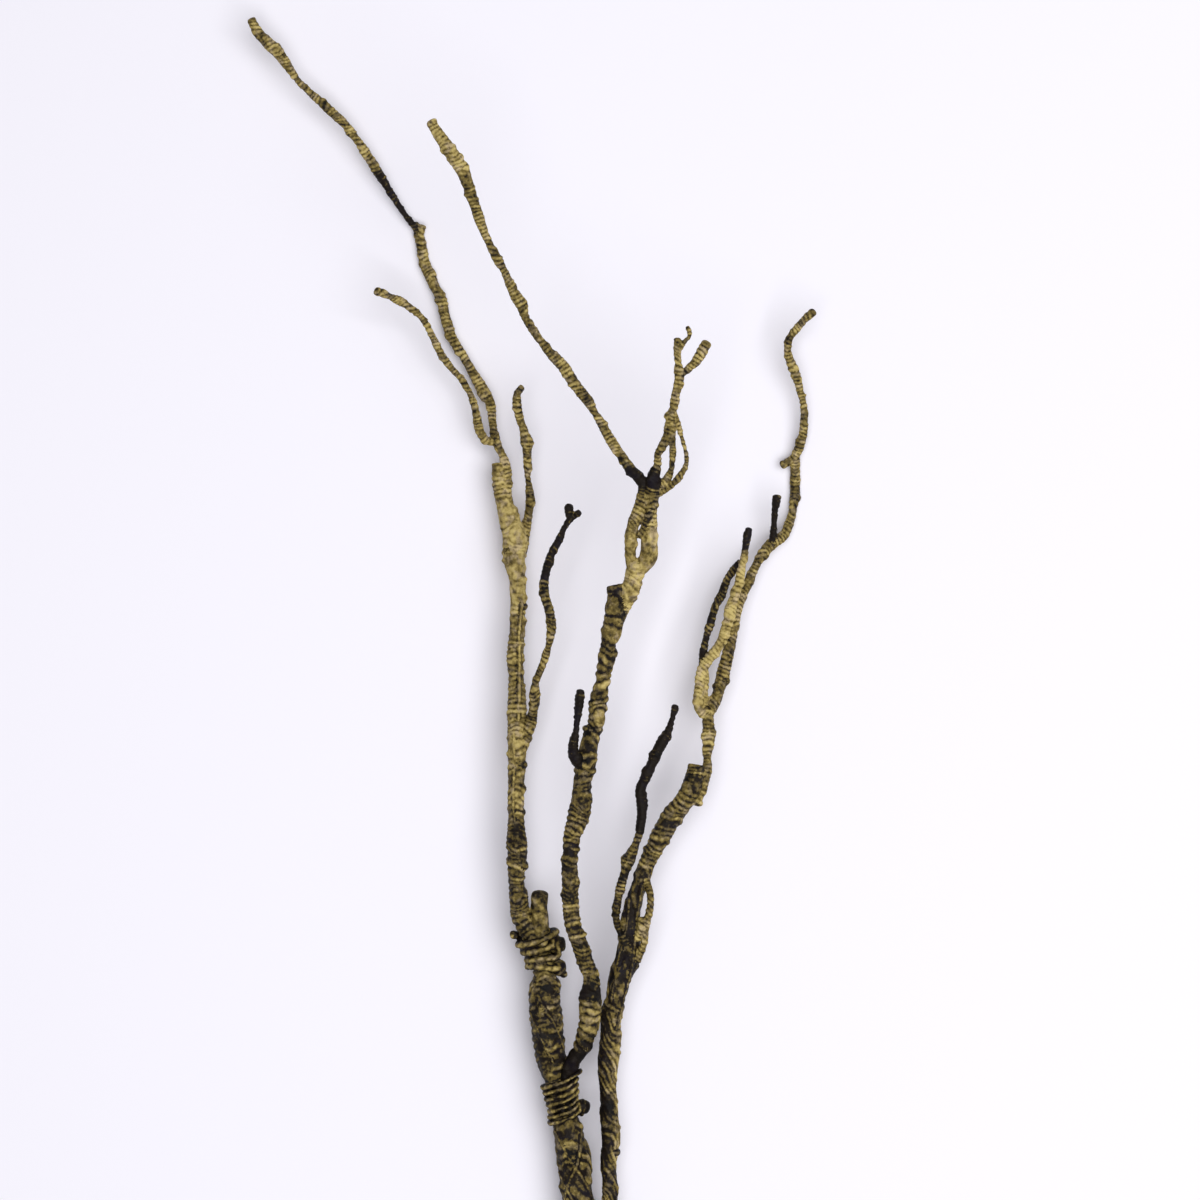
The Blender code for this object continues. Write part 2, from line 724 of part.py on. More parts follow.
def fuse(body, shapes):
    """One Boolean union joins the shapes to the body, and the shapes then go."""
    group = bpy.data.collections.new(body.name + "_shapes")
    bpy.context.scene.collection.children.link(group)
    for shape in shapes:
        bpy.context.scene.collection.objects.unlink(shape)
        group.objects.link(shape)
    union = body.modifiers.new("join", "BOOLEAN")
    union.operation = "UNION"
    union.operand_type = "COLLECTION"
    union.collection = group
    union.solver = "EXACT"
    union.use_self = True
    apply_modifiers(body)
    for shape in shapes:
        bpy.data.objects.remove(shape)
    bpy.data.collections.remove(group)


def carve(body, cutter):
    """Takes the cutter's shape out of the body, and the cutter then goes."""
    cut = body.modifiers.new("cut", "BOOLEAN")
    cut.operation = "DIFFERENCE"
    cut.object = cutter
    cut.solver = "EXACT"
    apply_modifiers(body)
    bpy.data.objects.remove(cutter)


def flatten_underside(body):
    """The table cuts the small flat spots that the branch rests on."""
    width, length, depth = TABLE_BLOCK
    mesh = bmesh.new()
    bmesh.ops.create_cube(mesh, size=1.0)
    bmesh.ops.scale(mesh, vec=Vector((width, length, depth)) * MM, verts=mesh.verts)
    bmesh.ops.translate(mesh, vec=Vector((0, TABLE_MIDDLE_Y, -depth / 2)) * MM, verts=mesh.verts)
    carve(body, object_from("table_block", mesh))


def drop_scraps(body):
    """Keeps the largest connected body and merges what lies within a hair of itself."""
    mesh = bmesh.new()
    mesh.from_mesh(body.data)
    bmesh.ops.remove_doubles(mesh, verts=mesh.verts, dist=MERGE_DISTANCE)
    bmesh.ops.dissolve_degenerate(mesh, edges=mesh.edges, dist=MERGE_DISTANCE)
    groups = []
    unseen = set(mesh.verts)
    while unseen:
        group = {unseen.pop()}
        edge_of_group = list(group)
        while edge_of_group:
            vertex = edge_of_group.pop()
            for edge in vertex.link_edges:
                other = edge.other_vert(vertex)
                if other in unseen:
                    unseen.remove(other)
                    group.add(other)
                    edge_of_group.append(other)
        groups.append(group)
    keep = max(groups, key=len)
    if any(len(group) > SCRAP_VERTICES for group in groups if group is not keep):
        raise ValueError(body.name + " has a twig, strand or knob that isn't joined to it")
    scraps = [vertex for vertex in mesh.verts if vertex not in keep]
    bmesh.ops.delete(mesh, geom=scraps, context="VERTS")
    bmesh.ops.triangulate(mesh, faces=mesh.faces)
    mesh.to_mesh(body.data)
    mesh.free()


def finish(body, look):
    drop_scraps(body)
    body.data.shade_smooth()
    body.data.set_sharp_from_angle(angle=math.radians(SHARP_ANGLE))
    body.data.materials.clear()
    body.data.materials.append(look)


def stem_node(name, stem, quiet, twigs, strands, knobs, seed):
    """A stem with its twigs, strands and knobs fused on, as one solid."""
    body = wound_tube(name, stem, STEM_SIDES, STEM_STEP, seed, quiet)
    shapes = []
    for index, route in enumerate(strands):
        shapes.append(wound_tube("strand", route, STRAND_SIDES, STEM_STEP, seed + STRAND_SEEDS + index, quiet))
    for index, route in enumerate(twigs):
        shapes.append(wound_tube("twig", route, TWIG_SIDES, TWIG_STEP, seed + TWIG_SEEDS + index))
    for index, place in enumerate(knobs):
        shapes.append(knob("knob", place, seed + KNOB_SEEDS + index))
    fuse(body, shapes)
    return body


def clearance_tube(route):
    """The stem, a little larger and longer, for carving the groove that its foot lies in."""
    room = GAP + FACET_ALLOWANCE
    foot, above = Vector(route[0][:3]), Vector(route[1][:3])
    lower = foot - (above - foot).normalized() * room
    longer = [(*lower, route[0][3])] + list(route[1:])
    return wound_tube("groove", longer, GROOVE_SIDES, STEM_STEP, seed=0, extra=room, relief=0.0)


def at_height(points, y):
    """Middle and radius of a curve that climbs along Y, at this y."""
    return min(points, key=lambda point: abs(point[0].y - y))


def binding(name, members, size, beside=()):
    """Cord wound taut round one or two stems, clear of what stands beside them."""
    curves = [follow(member, CURVE_STEP) for member in members]
    near = curves + [follow(other, CURVE_STEP) for other in beside]
    route = []
    for index in range(round(size["turns"] * CORD_STEPS) + 1):
        angle = -2 * math.pi * index / CORD_STEPS
        y = size["start"] + size["pitch"] * index / CORD_STEPS + size["lean"] * math.cos(angle)
        middle, _ = at_height(curves[0], y)
        ahead, _ = at_height(curves[0], y + LOOK_AHEAD)
        tangent = (ahead - middle).normalized()
        side = tangent.cross(Vector((0, 0, 1))).normalized()
        out = side * math.cos(angle) + side.cross(tangent) * math.sin(angle)
        furthest = None
        for curve in curves:
            centre, radius = at_height(curve, y)
            offset = centre - middle
            offset -= tangent * offset.dot(tangent)
            place = offset + out * (radius + CORD_CLEARANCE + size["radius"])
            if furthest is None or place.dot(out) > furthest.dot(out):
                furthest = place
        level = middle + tangent * ((y - middle.y) / tangent.y)
        route.append(push_clear(level + furthest, out, near, size["radius"] + CORD_CLEARANCE))
    return cord_tube(name, route, size["radius"])


def push_clear(place, out, curves, room):
    """Moves a point of the cord outwards until every stem leaves it this much room."""
    close = [point for curve in curves for point in curve if (point[0] - place).length < REACH]
    while any((centre - place).length < radius + room for centre, radius in close):
        place = place + out * PUSH
    return place


def cord_tube(name, middles, radius):
    """A closed cord of even thickness through these points."""
    dice = random.Random(0)
    mesh = bmesh.new()
    rings = []
    last = len(middles) - 1
    for index, (middle, frame) in enumerate(zip(middles, frames_along(middles))):
        thickness = radius * (END_ROUNDING if index in (0, last) else 1.0)
        rings.append(add_ring(mesh, middle, frame, thickness, CORD_SIDES, 0.0, dice))
    for ring, following in zip(rings, rings[1:]):
        bridge(mesh, ring, following)
    mesh.faces.new(rings[0][::-1])
    mesh.faces.new(rings[-1])
    bmesh.ops.recalc_face_normals(mesh, faces=mesh.faces)
    return object_from(name, mesh)


def knot(place, seed):
    """The tied end of a binding, standing off the stem."""
    root, head, radius = place
    route = [(*root, radius * END_ROUNDING), (*head, radius)]
    return wound_tube("knot", route, KNOT_SIDES, KNOT_STEP, seed, relief=KNOT_RELIEF)


def build():
    clear_scene()
    bark = material("painted_bark", PAINTED_BARK["colour"], PAINTED_BARK["roughness"])
    cord = material("binding_cord", BINDING_CORD["colour"], BINDING_CORD["roughness"])

    main = stem_node(
        "main_stem",
        MAIN_STEM,
        (FOOT_TIE, CROTCH_TIE, STUB_TIE),
        [LONG_LEFT_TWIG, SHORT_LEFT_TWIG, UPRIGHT_TWIG, DARK_TWIG, SECOND_BUD, NODE_BUD],
        [STUB],
        MAIN_KNOBS,
        seed=100,
    )
    carve(main, clearance_tube(MIDDLE_STEM))
    carve(main, clearance_tube(RIGHT_STEM))
    flatten_underside(main)
    finish(main, bark)

    middle = stem_node(
        "middle_stem",
        MIDDLE_STEM,
        (CROTCH_TIE,),
        [LOOP_STRAND, OUTER_LOOP, FORK_TWIG, LITTLE_FORK, MIDDLE_BUD_TWIG, LOOP_BUD,
         MIDDLE_LEFT_STRAND, MIDDLE_RIGHT_STRAND, CROSSING_STRAND],
        [MIDDLE_NECK],
        MIDDLE_KNOBS,
        seed=200,
    )
    finish(middle, bark)

    right = stem_node(
        "right_stem",
        RIGHT_STEM,
        (RIGHT_FOOT,),
        [RIGHT_TWIG, YELLOW_STRAND, THIN_STRAND, RIGHT_STRAND, RIGHT_TIP_TWIG, BUD_TWIG,
         BACK_TWIG, SIDE_TWIG, BOW_TWIG, BOW_BUD],
        [],
        RIGHT_KNOBS,
        seed=300,
    )
    flatten_underside(right)
    finish(right, bark)

    crotch = binding("crotch_binding", [MAIN_STEM, MIDDLE_STEM], CROTCH_BINDING)
    fuse(crotch, [knot(CROTCH_KNOT, seed=401)])
    finish(crotch, cord)

    stub = binding("stub_binding", [MAIN_STEM], STUB_BINDING, beside=[STUB])
    fuse(stub, [knot(place, seed=402 + index) for index, place in enumerate(STUB_KNOTS)])
    finish(stub, cord)

    foot = binding("foot_binding", [MAIN_STEM, RIGHT_STEM], FOOT_BINDING)
    finish(foot, cord)


build()
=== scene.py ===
"""Looks of the twiggy branch: cord-wound stems under dark coating, dry-brushed with ochre.

The stems lie on a pale floor and the camera looks straight down on them. Routes are in
millimetres, as in the part's source: x, y, z of a stem's middle and then its radius.
"""

import math

import bpy
import numpy as np
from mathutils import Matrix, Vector
from mathutils.kdtree import KDTree


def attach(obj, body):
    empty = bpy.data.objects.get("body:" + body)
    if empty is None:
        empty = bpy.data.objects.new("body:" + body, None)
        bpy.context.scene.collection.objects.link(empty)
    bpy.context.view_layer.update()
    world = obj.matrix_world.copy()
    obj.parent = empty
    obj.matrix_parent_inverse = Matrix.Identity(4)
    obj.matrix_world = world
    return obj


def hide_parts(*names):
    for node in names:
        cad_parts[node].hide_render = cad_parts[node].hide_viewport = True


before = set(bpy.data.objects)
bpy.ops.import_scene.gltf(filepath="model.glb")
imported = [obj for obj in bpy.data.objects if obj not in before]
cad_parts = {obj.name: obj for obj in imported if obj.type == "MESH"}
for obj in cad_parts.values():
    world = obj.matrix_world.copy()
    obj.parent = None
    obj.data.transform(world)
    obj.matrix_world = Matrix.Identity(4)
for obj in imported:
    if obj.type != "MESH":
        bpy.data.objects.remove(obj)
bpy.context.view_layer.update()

MM = 0.001

# Camera over the branch: its height, and the middle and width of what it sees at the branch
CAMERA_HEIGHT = 4000.0
SEEN_MIDDLE_Y = 405.0
SEEN_WIDTH = 600.0
SEEN_AT_Z = 40.0
SENSOR_WIDTH = 36.0

# Fineness of the swept stems, and of the skin that joins them into one piece
RING_STEP = 0.5
SIDE_STEP = 0.6
FEWEST_SIDES = 16
SKIN_VOXEL = 0.5
TRIANGLE_LIMIT = 190000

# How far beyond a stem's last ring its end goes, and how wide it is there, as shares of the radius
ROUND_END = ((0.15, 0.93), (0.3, 0.76), (0.4, 0.5), (0.45, 0.2))
CUPPED_END = ((0.14, 0.9), (0.12, 0.72), (-0.2, 0.5), (-0.36, 0.2))
CUT_END = ((0.03, 0.97), (0.04, 0.8), (0.04, 0.45), (0.04, 0.15))

# Cord wound round a stem in layers, then the depth of its grooves. A layer is the cords side by
# side, their rise in a full turn, their hand, and how much of the layer shows
STEM_WINDING = (((1, 2.5, 1, 1.0), (4, 15.0, -1, 0.6), (3, 26.0, 1, 0.45)), 1.7)
TWIG_WINDING = (((1, 2.1, 1, 1.0), (3, 9.5, -1, 0.5)), 1.05)
KNOB_WINDING = (((1, 2.6, 1, 0.9),), 0.5)
LAID_WINDING = (((2, 7.0, 1, 0.9),), 0.25)
BINDING_WINDING = (((2, 8.0, 1, 0.95),), 0.15)
KNOT_WINDING = (((1, 3.0, 1, 1.0),), 1.1)

# Cords differ in height: the lowest one's share of the full height
LOWEST_CORD = 0.62
# How far cords stray from their line, in turns, and the size of the bends that they make
WIDE_STRAY = 1.1
WIDE_BEND = 7.0
FINE_STRAY = 0.12
FINE_BEND = 2.6
# How much a layer's share of the top changes from place to place, and how large such a place is
LAYER_CHANGE = 0.3
LAYER_PLACE = 5.0

# Relief: the share of a crest that lies at the stem's own radius, the height and size of swells and of
# crumbs, and the most that the relief adds or takes, as a share of the radius
MEAN_CREST = 0.7
SWELL_HEIGHT = 0.4
SWELL_SIZE = 4.5
CRUMB_HEIGHT = 0.2
CRUMB_SIZE = 1.4
RELIEF_LIMIT = 0.38
# Widths of the soft edges of stretches that are wound or painted in another way, and of stretches paler on
# one side, partly paint and partly painted light
WINDING_EDGE = 4.0
TONE_EDGE = 6.0
LEAN_EDGE = 8.0
# How far apart a route is read where only its line counts, and the least distance that is divided by
ROUTE_STEP = 1.0
LEAST_DISTANCE = 0.001

# Every random draw has its own seed. These are added to a stem's seed: for the fine bends, the cords of
# the layers, the layers' changes, the swells, the crumbs, the lumps, and stretches wound in another way
FINE_SEED = 1
CORD_SEED = 2
CHANGE_SEED = 5
SWELL_SEED = 12
CRUMB_SEED = 13
LUMP_SEED = 14
STRETCH_SEED = 20
STRETCH_SEED_STEP = 10
# These are added to a piece's seed, for its branches, knobs, laid strands and knots
BRANCH_SEED = 100
BRANCH_SEED_STEP = 40
KNOB_SEED = 700
STRAND_SEED = 1100
KNOT_SEED = 20
SMALL_SEED_STEP = 20
# How many heights the cords share, and how many values the noise does, with the factors that spread them
CORD_DRAWS = 997
NOISE_DRAWS = 4096
NOISE_SPREAD = (73856093, 19349663, 83492791)

MAIN_STEM = [
    (0.0, -15.0, 8.0, 8.6), (-1.0, 12.0, 8.1, 8.4), (-3.0, 40.0, 11.0, 7.9), (-5.0, 65.0, 13.0, 7.8),
    (-9.0, 90.0, 15.0, 8.2), (-12.2, 112.0, 16.0, 8.1), (-13.2, 124.0, 16.5, 8.5),
    (-15.5, 135.0, 17.0, 7.6), (-16.3, 140.0, 17.2, 7.4), (-17.8, 147.0, 17.5, 5.7),
    (-21.6, 162.0, 18.5, 5.7), (-24.4, 173.0, 19.0, 7.5), (-26.0, 185.0, 20.0, 7.9),
    (-27.3, 197.0, 20.5, 8.2), (-27.8, 206.0, 21.0, 8.0), (-27.5, 212.5, 21.0, 7.8),
    (-27.8, 217.5, 21.2, 5.4), (-28.8, 226.0, 21.5, 5.0),
    (-33.6, 236.0, 22.0, 5.4), (-39.2, 246.0, 23.0, 5.1), (-41.0, 256.0, 23.5, 4.6),
    (-42.2, 265.0, 24.0, 4.1), (-41.5, 275.0, 24.0, 5.1), (-42.0, 286.0, 24.0, 5.1),
    (-42.2, 296.0, 24.0, 4.1), (-42.0, 312.0, 24.0, 4.2), (-41.8, 325.0, 23.5, 4.5),
    (-41.2, 336.0, 23.0, 5.3), (-41.5, 348.0, 22.5, 5.0), (-42.0, 364.0, 21.5, 4.2),
    (-42.6, 375.0, 21.0, 4.3), (-41.6, 390.0, 20.0, 3.9), (-41.3, 406.0, 19.0, 4.0),
    (-41.5, 415.0, 18.0, 4.3), (-42.9, 425.0, 17.0, 5.5), (-43.0, 436.0, 16.0, 6.2),
    (-45.3, 445.0, 15.0, 5.2), (-49.0, 456.0, 14.5, 4.0), (-51.0, 466.0, 14.0, 3.6),
    (-51.6, 473.5, 13.5, 3.3),
]
STUB = [
    (-31.0, 230.0, 22.5, 4.6), (-29.6, 240.0, 24.5, 4.4), (-30.5, 249.0, 26.0, 4.1),
    (-30.0, 257.5, 27.0, 4.3),
]
LONG_LEFT_TWIG = [
    (-45.0, 442.0, 15.0, 3.2), (-47.2, 458.0, 14.5, 3.1), (-47.2, 469.0, 13.5, 3.0),
    (-48.2, 475.5, 12.5, 2.2), (-51.5, 483.0, 11.5, 2.1), (-53.3, 488.0, 11.0, 2.5),
    (-54.3, 496.0, 10.0, 2.0), (-55.6, 505.0, 9.0, 2.7), (-61.5, 515.0, 8.0, 2.8),
    (-67.2, 525.0, 7.0, 2.3), (-73.5, 535.0, 6.0, 2.5), (-77.2, 545.0, 5.0, 2.8),
    (-79.5, 555.0, 4.0, 2.6), (-84.0, 565.0, 3.2, 2.8), (-88.5, 575.0, 2.2, 2.7),
    (-90.6, 586.0, 2.0, 2.6), (-92.5, 592.5, 2.8, 2.2), (-96.0, 596.0, 4.0, 1.6),
    (-102.2, 605.0, 6.0, 1.6), (-108.4, 615.0, 8.0, 2.0), (-114.8, 625.0, 9.5, 2.4),
    (-121.2, 635.0, 11.0, 2.2), (-129.0, 645.0, 12.5, 2.2), (-139.7, 655.0, 14.0, 2.3),
    (-150.8, 665.0, 15.0, 1.9), (-158.0, 675.0, 16.0, 2.4), (-161.5, 680.0, 16.5, 3.0),
    (-167.5, 685.5, 17.0, 3.0), (-172.0, 690.5, 17.5, 2.8), (-175.2, 696.6, 18.0, 2.5),
]
SHORT_LEFT_TWIG = [
    (-53.0, 485.0, 11.0, 2.0), (-57.4, 485.5, 12.5, 2.2), (-60.4, 489.5, 14.0, 2.2),
    (-61.9, 497.0, 15.0, 2.0), (-63.9, 505.0, 16.0, 1.9), (-69.0, 515.0, 17.5, 1.7),
    (-77.2, 524.5, 19.0, 1.9), (-80.9, 530.5, 20.0, 1.9), (-84.5, 538.0, 21.0, 1.8),
    (-88.7, 546.0, 23.0, 1.8), (-96.2, 552.5, 25.0, 1.9), (-100.2, 555.0, 26.0, 2.4),
    (-105.7, 557.5, 27.5, 1.9), (-112.2, 560.0, 29.5, 2.2),
]
UPRIGHT_TWIG = [
    (-41.5, 422.0, 15.0, 2.4), (-38.2, 431.0, 11.0, 2.0), (-36.8, 442.0, 10.5, 2.2),
    (-35.3, 452.0, 12.0, 2.3), (-35.0, 458.0, 14.0, 2.1), (-36.2, 466.0, 16.0, 1.8),
    (-36.5, 476.0, 19.0, 2.1), (-36.9, 484.5, 21.0, 3.0), (-38.5, 490.5, 22.5, 2.3),
    (-40.7, 498.0, 24.5, 2.2), (-41.7, 506.0, 26.5, 2.1), (-40.8, 510.0, 27.5, 2.0),
    (-39.0, 511.5, 28.0, 1.9),
]
DARK_TWIG = [
    (-38.5, 334.0, 24.0, 2.8), (-35.0, 342.5, 26.5, 3.0), (-33.5, 349.5, 29.0, 2.4),
    (-32.3, 356.5, 31.0, 2.7), (-32.5, 363.0, 32.5, 2.1), (-28.0, 375.0, 36.0, 1.8),
    (-25.3, 384.0, 38.5, 1.9), (-24.5, 392.0, 40.0, 2.4), (-25.5, 400.0, 42.0, 2.3),
    (-27.6, 408.0, 44.0, 2.5), (-27.5, 416.0, 46.0, 2.4), (-24.5, 427.0, 49.0, 2.2),
    (-20.5, 434.5, 50.5, 2.1), (-18.3, 440.0, 52.0, 1.5), (-15.6, 444.0, 53.0, 1.8),
    (-12.6, 446.5, 54.0, 1.5), (-10.4, 448.6, 55.0, 2.1),
]
MIDDLE_STEM = [
    (-15.0, 145.5, 20.5, 2.5), (-16.6, 156.0, 21.5, 3.0), (-16.9, 165.0, 22.5, 3.4),
    (-14.0, 173.0, 24.5, 4.0), (-9.5, 179.5, 27.0, 4.5), (-6.8, 188.0, 30.0, 5.1),
    (-4.9, 197.0, 33.0, 5.3), (-5.1, 206.0, 35.0, 5.6), (-4.4, 216.0, 37.0, 4.1),
    (-7.7, 225.0, 39.0, 4.2), (-11.0, 235.0, 41.0, 4.1), (-14.0, 245.0, 43.0, 4.2),
    (-14.8, 255.0, 44.5, 4.0), (-14.9, 265.0, 46.0, 4.4), (-15.2, 275.0, 47.5, 4.0),
    (-14.0, 286.0, 49.0, 3.9), (-11.3, 295.0, 50.5, 5.2), (-9.2, 304.0, 51.5, 5.4),
    (-8.7, 314.0, 53.0, 4.6), (-6.6, 324.0, 54.5, 5.1), (-4.8, 334.0, 56.0, 4.5),
    (-2.0, 345.0, 57.5, 4.3), (-0.8, 355.0, 59.0, 4.5), (1.6, 365.0, 60.5, 3.6),
    (2.9, 375.0, 61.5, 3.9), (4.4, 385.0, 63.0, 4.3), (7.2, 395.0, 64.0, 5.2),
    (8.4, 402.5, 65.0, 5.9), (8.4, 407.5, 65.3, 4.7), (7.6, 412.0, 65.5, 4.5),
]
MIDDLE_NECK = [
    (9.0, 399.0, 64.5, 4.0), (14.9, 409.0, 66.5, 4.8), (16.9, 417.0, 68.0, 4.7), (18.6, 422.5, 69.5, 4.8),
]
MIDDLE_LEFT_STRAND = [
    (17.0, 417.0, 68.5, 3.4), (15.2, 426.0, 70.0, 3.0), (15.3, 433.0, 71.0, 3.1),
    (15.7, 440.0, 72.0, 3.2), (18.5, 447.0, 73.0, 3.1), (20.3, 453.5, 74.0, 3.0),
    (21.3, 459.5, 75.0, 2.5), (20.8, 464.0, 75.7, 2.6), (16.6, 468.3, 76.5, 2.9),
    (9.7, 477.5, 78.0, 2.5), (5.0, 485.0, 79.0, 2.6), (-1.5, 496.0, 81.0, 2.1),
    (-6.0, 503.5, 82.0, 2.6), (-11.5, 510.5, 83.0, 2.6), (-16.0, 517.5, 84.0, 2.9),
    (-21.5, 524.0, 85.0, 3.0), (-26.5, 529.5, 86.0, 2.4), (-35.8, 542.5, 88.0, 2.0),
    (-39.8, 552.0, 89.0, 2.9), (-43.3, 558.5, 89.5, 2.5), (-47.0, 566.5, 90.0, 1.9),
    (-51.2, 574.5, 90.5, 2.4), (-55.5, 583.0, 91.0, 2.0), (-59.4, 592.6, 91.5, 2.4),
    (-63.0, 603.0, 92.0, 2.8), (-66.6, 614.4, 92.5, 3.3), (-72.2, 623.8, 92.5, 3.5),
    (-78.4, 632.8, 92.5, 3.1), (-83.4, 640.9, 92.5, 2.4),
]
MIDDLE_RIGHT_STRAND = [
    (17.5, 418.0, 68.5, 3.4), (22.9, 424.5, 70.0, 4.4), (24.6, 430.5, 71.0, 4.4), (24.4, 438.0, 72.0, 4.0),
    (24.8, 445.0, 73.0, 3.6), (25.2, 452.0, 74.5, 3.4), (26.2, 459.0, 76.0, 3.7), (26.5, 466.0, 77.5, 3.4),
    (28.5, 472.0, 79.0, 1.9), (28.3, 477.0, 80.0, 2.0), (31.0, 481.5, 81.0, 2.4), (34.3, 488.0, 81.0, 3.0),
    (35.1, 495.0, 81.0, 2.3), (37.3, 505.0, 81.0, 2.0), (39.2, 516.0, 81.0, 2.3), (38.6, 523.0, 81.0, 1.6),
    (38.3, 531.0, 81.0, 1.9), (38.3, 534.0, 81.0, 2.0),
]
CROSSING_STRAND = [
    (26.4, 453.0, 76.0, 1.6), (24.6, 447.5, 76.3, 1.8), (22.4, 442.0, 75.4, 1.8), (19.0, 436.5, 73.2, 1.7),
]
LOOP_STRAND = [
    (27.5, 459.0, 75.5, 2.6), (32.5, 463.5, 75.5, 2.4), (35.2, 469.0, 76.0, 1.9), (36.0, 477.0, 78.0, 1.7),
    (35.5, 488.0, 80.5, 2.0),
]
OUTER_LOOP = [
    (28.0, 457.5, 75.0, 2.2), (34.0, 460.8, 73.5, 1.7), (39.0, 466.0, 73.0, 1.8), (42.6, 472.0, 74.0, 1.5),
    (42.4, 478.0, 76.0, 1.3), (39.8, 488.0, 79.0, 1.2), (38.3, 494.0, 80.3, 1.2), (36.3, 498.0, 81.0, 1.3),
]
FORK_TWIG = [
    (39.3, 515.5, 81.0, 1.9), (43.5, 519.5, 82.0, 1.9), (47.8, 523.3, 83.0, 2.5), (50.5, 528.0, 84.0, 2.7),
    (52.7, 532.0, 85.0, 2.6),
]
LITTLE_FORK = [
    (38.6, 529.0, 81.0, 1.5), (42.0, 533.0, 82.0, 1.3), (44.4, 535.8, 82.5, 1.3), (43.2, 540.0, 83.5, 1.0),
]
MIDDLE_BUD_TWIG = [
    (-8.5, 321.0, 55.5, 2.4), (-12.5, 327.0, 59.0, 2.9), (-13.2, 332.5, 61.0, 2.5),
    (-11.6, 341.0, 63.0, 1.8), (-10.9, 349.0, 64.5, 1.9), (-10.0, 356.5, 66.0, 2.5),
    (-9.6, 359.7, 66.5, 2.3),
]
RIGHT_STEM = [
    (2.2, 38.0, 14.3, 3.2), (1.6, 52.0, 16.0, 3.5), (2.6, 68.0, 17.6, 3.8), (5.0, 88.0, 18.0, 4.0),
    (4.8, 112.0, 18.0, 4.0), (4.3, 124.0, 18.5, 4.1), (5.3, 135.0, 19.0, 4.9), (4.7, 147.0, 19.5, 4.5),
    (3.8, 160.0, 20.5, 4.3), (4.2, 174.0, 21.0, 5.4), (5.2, 183.0, 21.5, 5.4), (5.6, 194.0, 22.5, 5.1),
    (8.0, 205.0, 23.0, 5.2), (10.0, 215.0, 24.0, 5.8), (13.4, 225.0, 25.0, 5.9), (15.0, 236.0, 26.0, 5.3),
    (15.3, 246.0, 27.0, 4.6), (17.8, 256.0, 28.0, 4.1), (21.0, 266.0, 29.0, 4.1), (25.0, 276.0, 30.0, 4.1),
    (29.0, 284.0, 30.5, 5.0), (35.0, 295.0, 31.0, 5.3), (42.0, 304.0, 30.5, 5.1), (46.6, 313.0, 29.5, 4.9),
    (48.2, 322.0, 29.0, 4.3),
]
RIGHT_TWIG = [
    (48.0, 303.0, 28.5, 2.6), (52.0, 313.0, 27.0, 2.8), (53.8, 321.0, 25.5, 2.5), (53.9, 326.5, 25.0, 2.1),
    (54.5, 335.0, 24.0, 3.1), (54.2, 344.0, 23.0, 3.0), (53.6, 350.0, 22.5, 3.9),
]
YELLOW_STRAND = [
    (53.5, 347.5, 23.0, 3.0), (50.6, 349.5, 24.0, 2.7), (49.4, 354.5, 24.5, 2.9), (49.8, 361.0, 25.0, 2.5),
    (51.0, 369.0, 25.7, 2.5), (56.0, 377.0, 27.0, 2.6), (60.5, 383.5, 27.5, 2.6), (63.2, 391.0, 27.5, 2.7),
    (65.6, 400.0, 27.0, 2.9), (68.3, 409.0, 26.5, 2.5), (71.0, 420.0, 27.0, 2.1), (72.9, 430.0, 28.0, 1.7),
    (73.5, 436.0, 28.5, 2.2), (74.8, 440.5, 29.0, 2.0),
]
THIN_STRAND = [
    (53.0, 350.0, 22.5, 1.7), (53.0, 358.0, 22.5, 1.5), (53.6, 365.0, 24.0, 1.4), (52.6, 371.5, 25.5, 1.5),
]
RIGHT_STRAND = [
    (54.5, 348.5, 22.5, 3.0), (58.4, 355.5, 21.5, 2.9), (60.6, 363.0, 21.0, 3.3), (62.6, 372.0, 20.0, 3.3),
    (65.2, 381.0, 19.5, 3.0), (67.5, 392.0, 18.5, 2.4), (70.0, 403.0, 17.0, 2.4), (74.7, 414.0, 14.5, 2.6),
    (78.2, 422.0, 13.0, 2.4), (82.5, 429.0, 11.0, 2.8), (87.0, 433.5, 9.0, 3.0), (93.0, 438.0, 7.0, 2.5),
    (96.6, 448.0, 4.0, 2.3), (98.3, 458.0, 2.1, 2.7), (98.6, 467.0, 2.0, 2.5), (98.6, 474.0, 3.4, 2.3),
    (98.8, 478.5, 5.4, 2.2),
]
RIGHT_TIP_TWIG = [
    (91.8, 473.0, 5.0, 2.0), (94.8, 474.7, 5.0, 2.0), (98.4, 477.5, 5.2, 2.0), (100.6, 482.0, 6.0, 2.4),
    (102.5, 490.0, 7.5, 2.3), (103.0, 498.0, 9.0, 2.0), (101.8, 507.0, 10.5, 1.9), (98.2, 519.0, 13.5, 2.3),
    (94.6, 529.0, 16.0, 2.1), (95.0, 536.0, 17.5, 2.1), (99.5, 542.0, 19.5, 1.9), (104.0, 547.0, 21.3, 2.1),
    (107.3, 549.7, 22.5, 2.2),
]
BUD_TWIG = [
    (87.0, 432.5, 9.5, 2.1), (87.5, 440.0, 12.0, 1.8), (88.1, 448.0, 14.0, 1.7), (88.6, 454.0, 15.7, 2.1),
    (88.7, 457.0, 16.3, 2.3),
]
BACK_TWIG = [
    (50.8, 369.0, 25.5, 1.9), (52.0, 378.5, 24.5, 2.1), (53.2, 386.0, 23.0, 1.9), (55.5, 393.0, 22.0, 2.2),
    (58.0, 401.5, 21.5, 1.9), (61.5, 408.5, 21.5, 2.3), (65.0, 417.5, 22.0, 2.1), (70.5, 424.0, 24.0, 1.8),
]
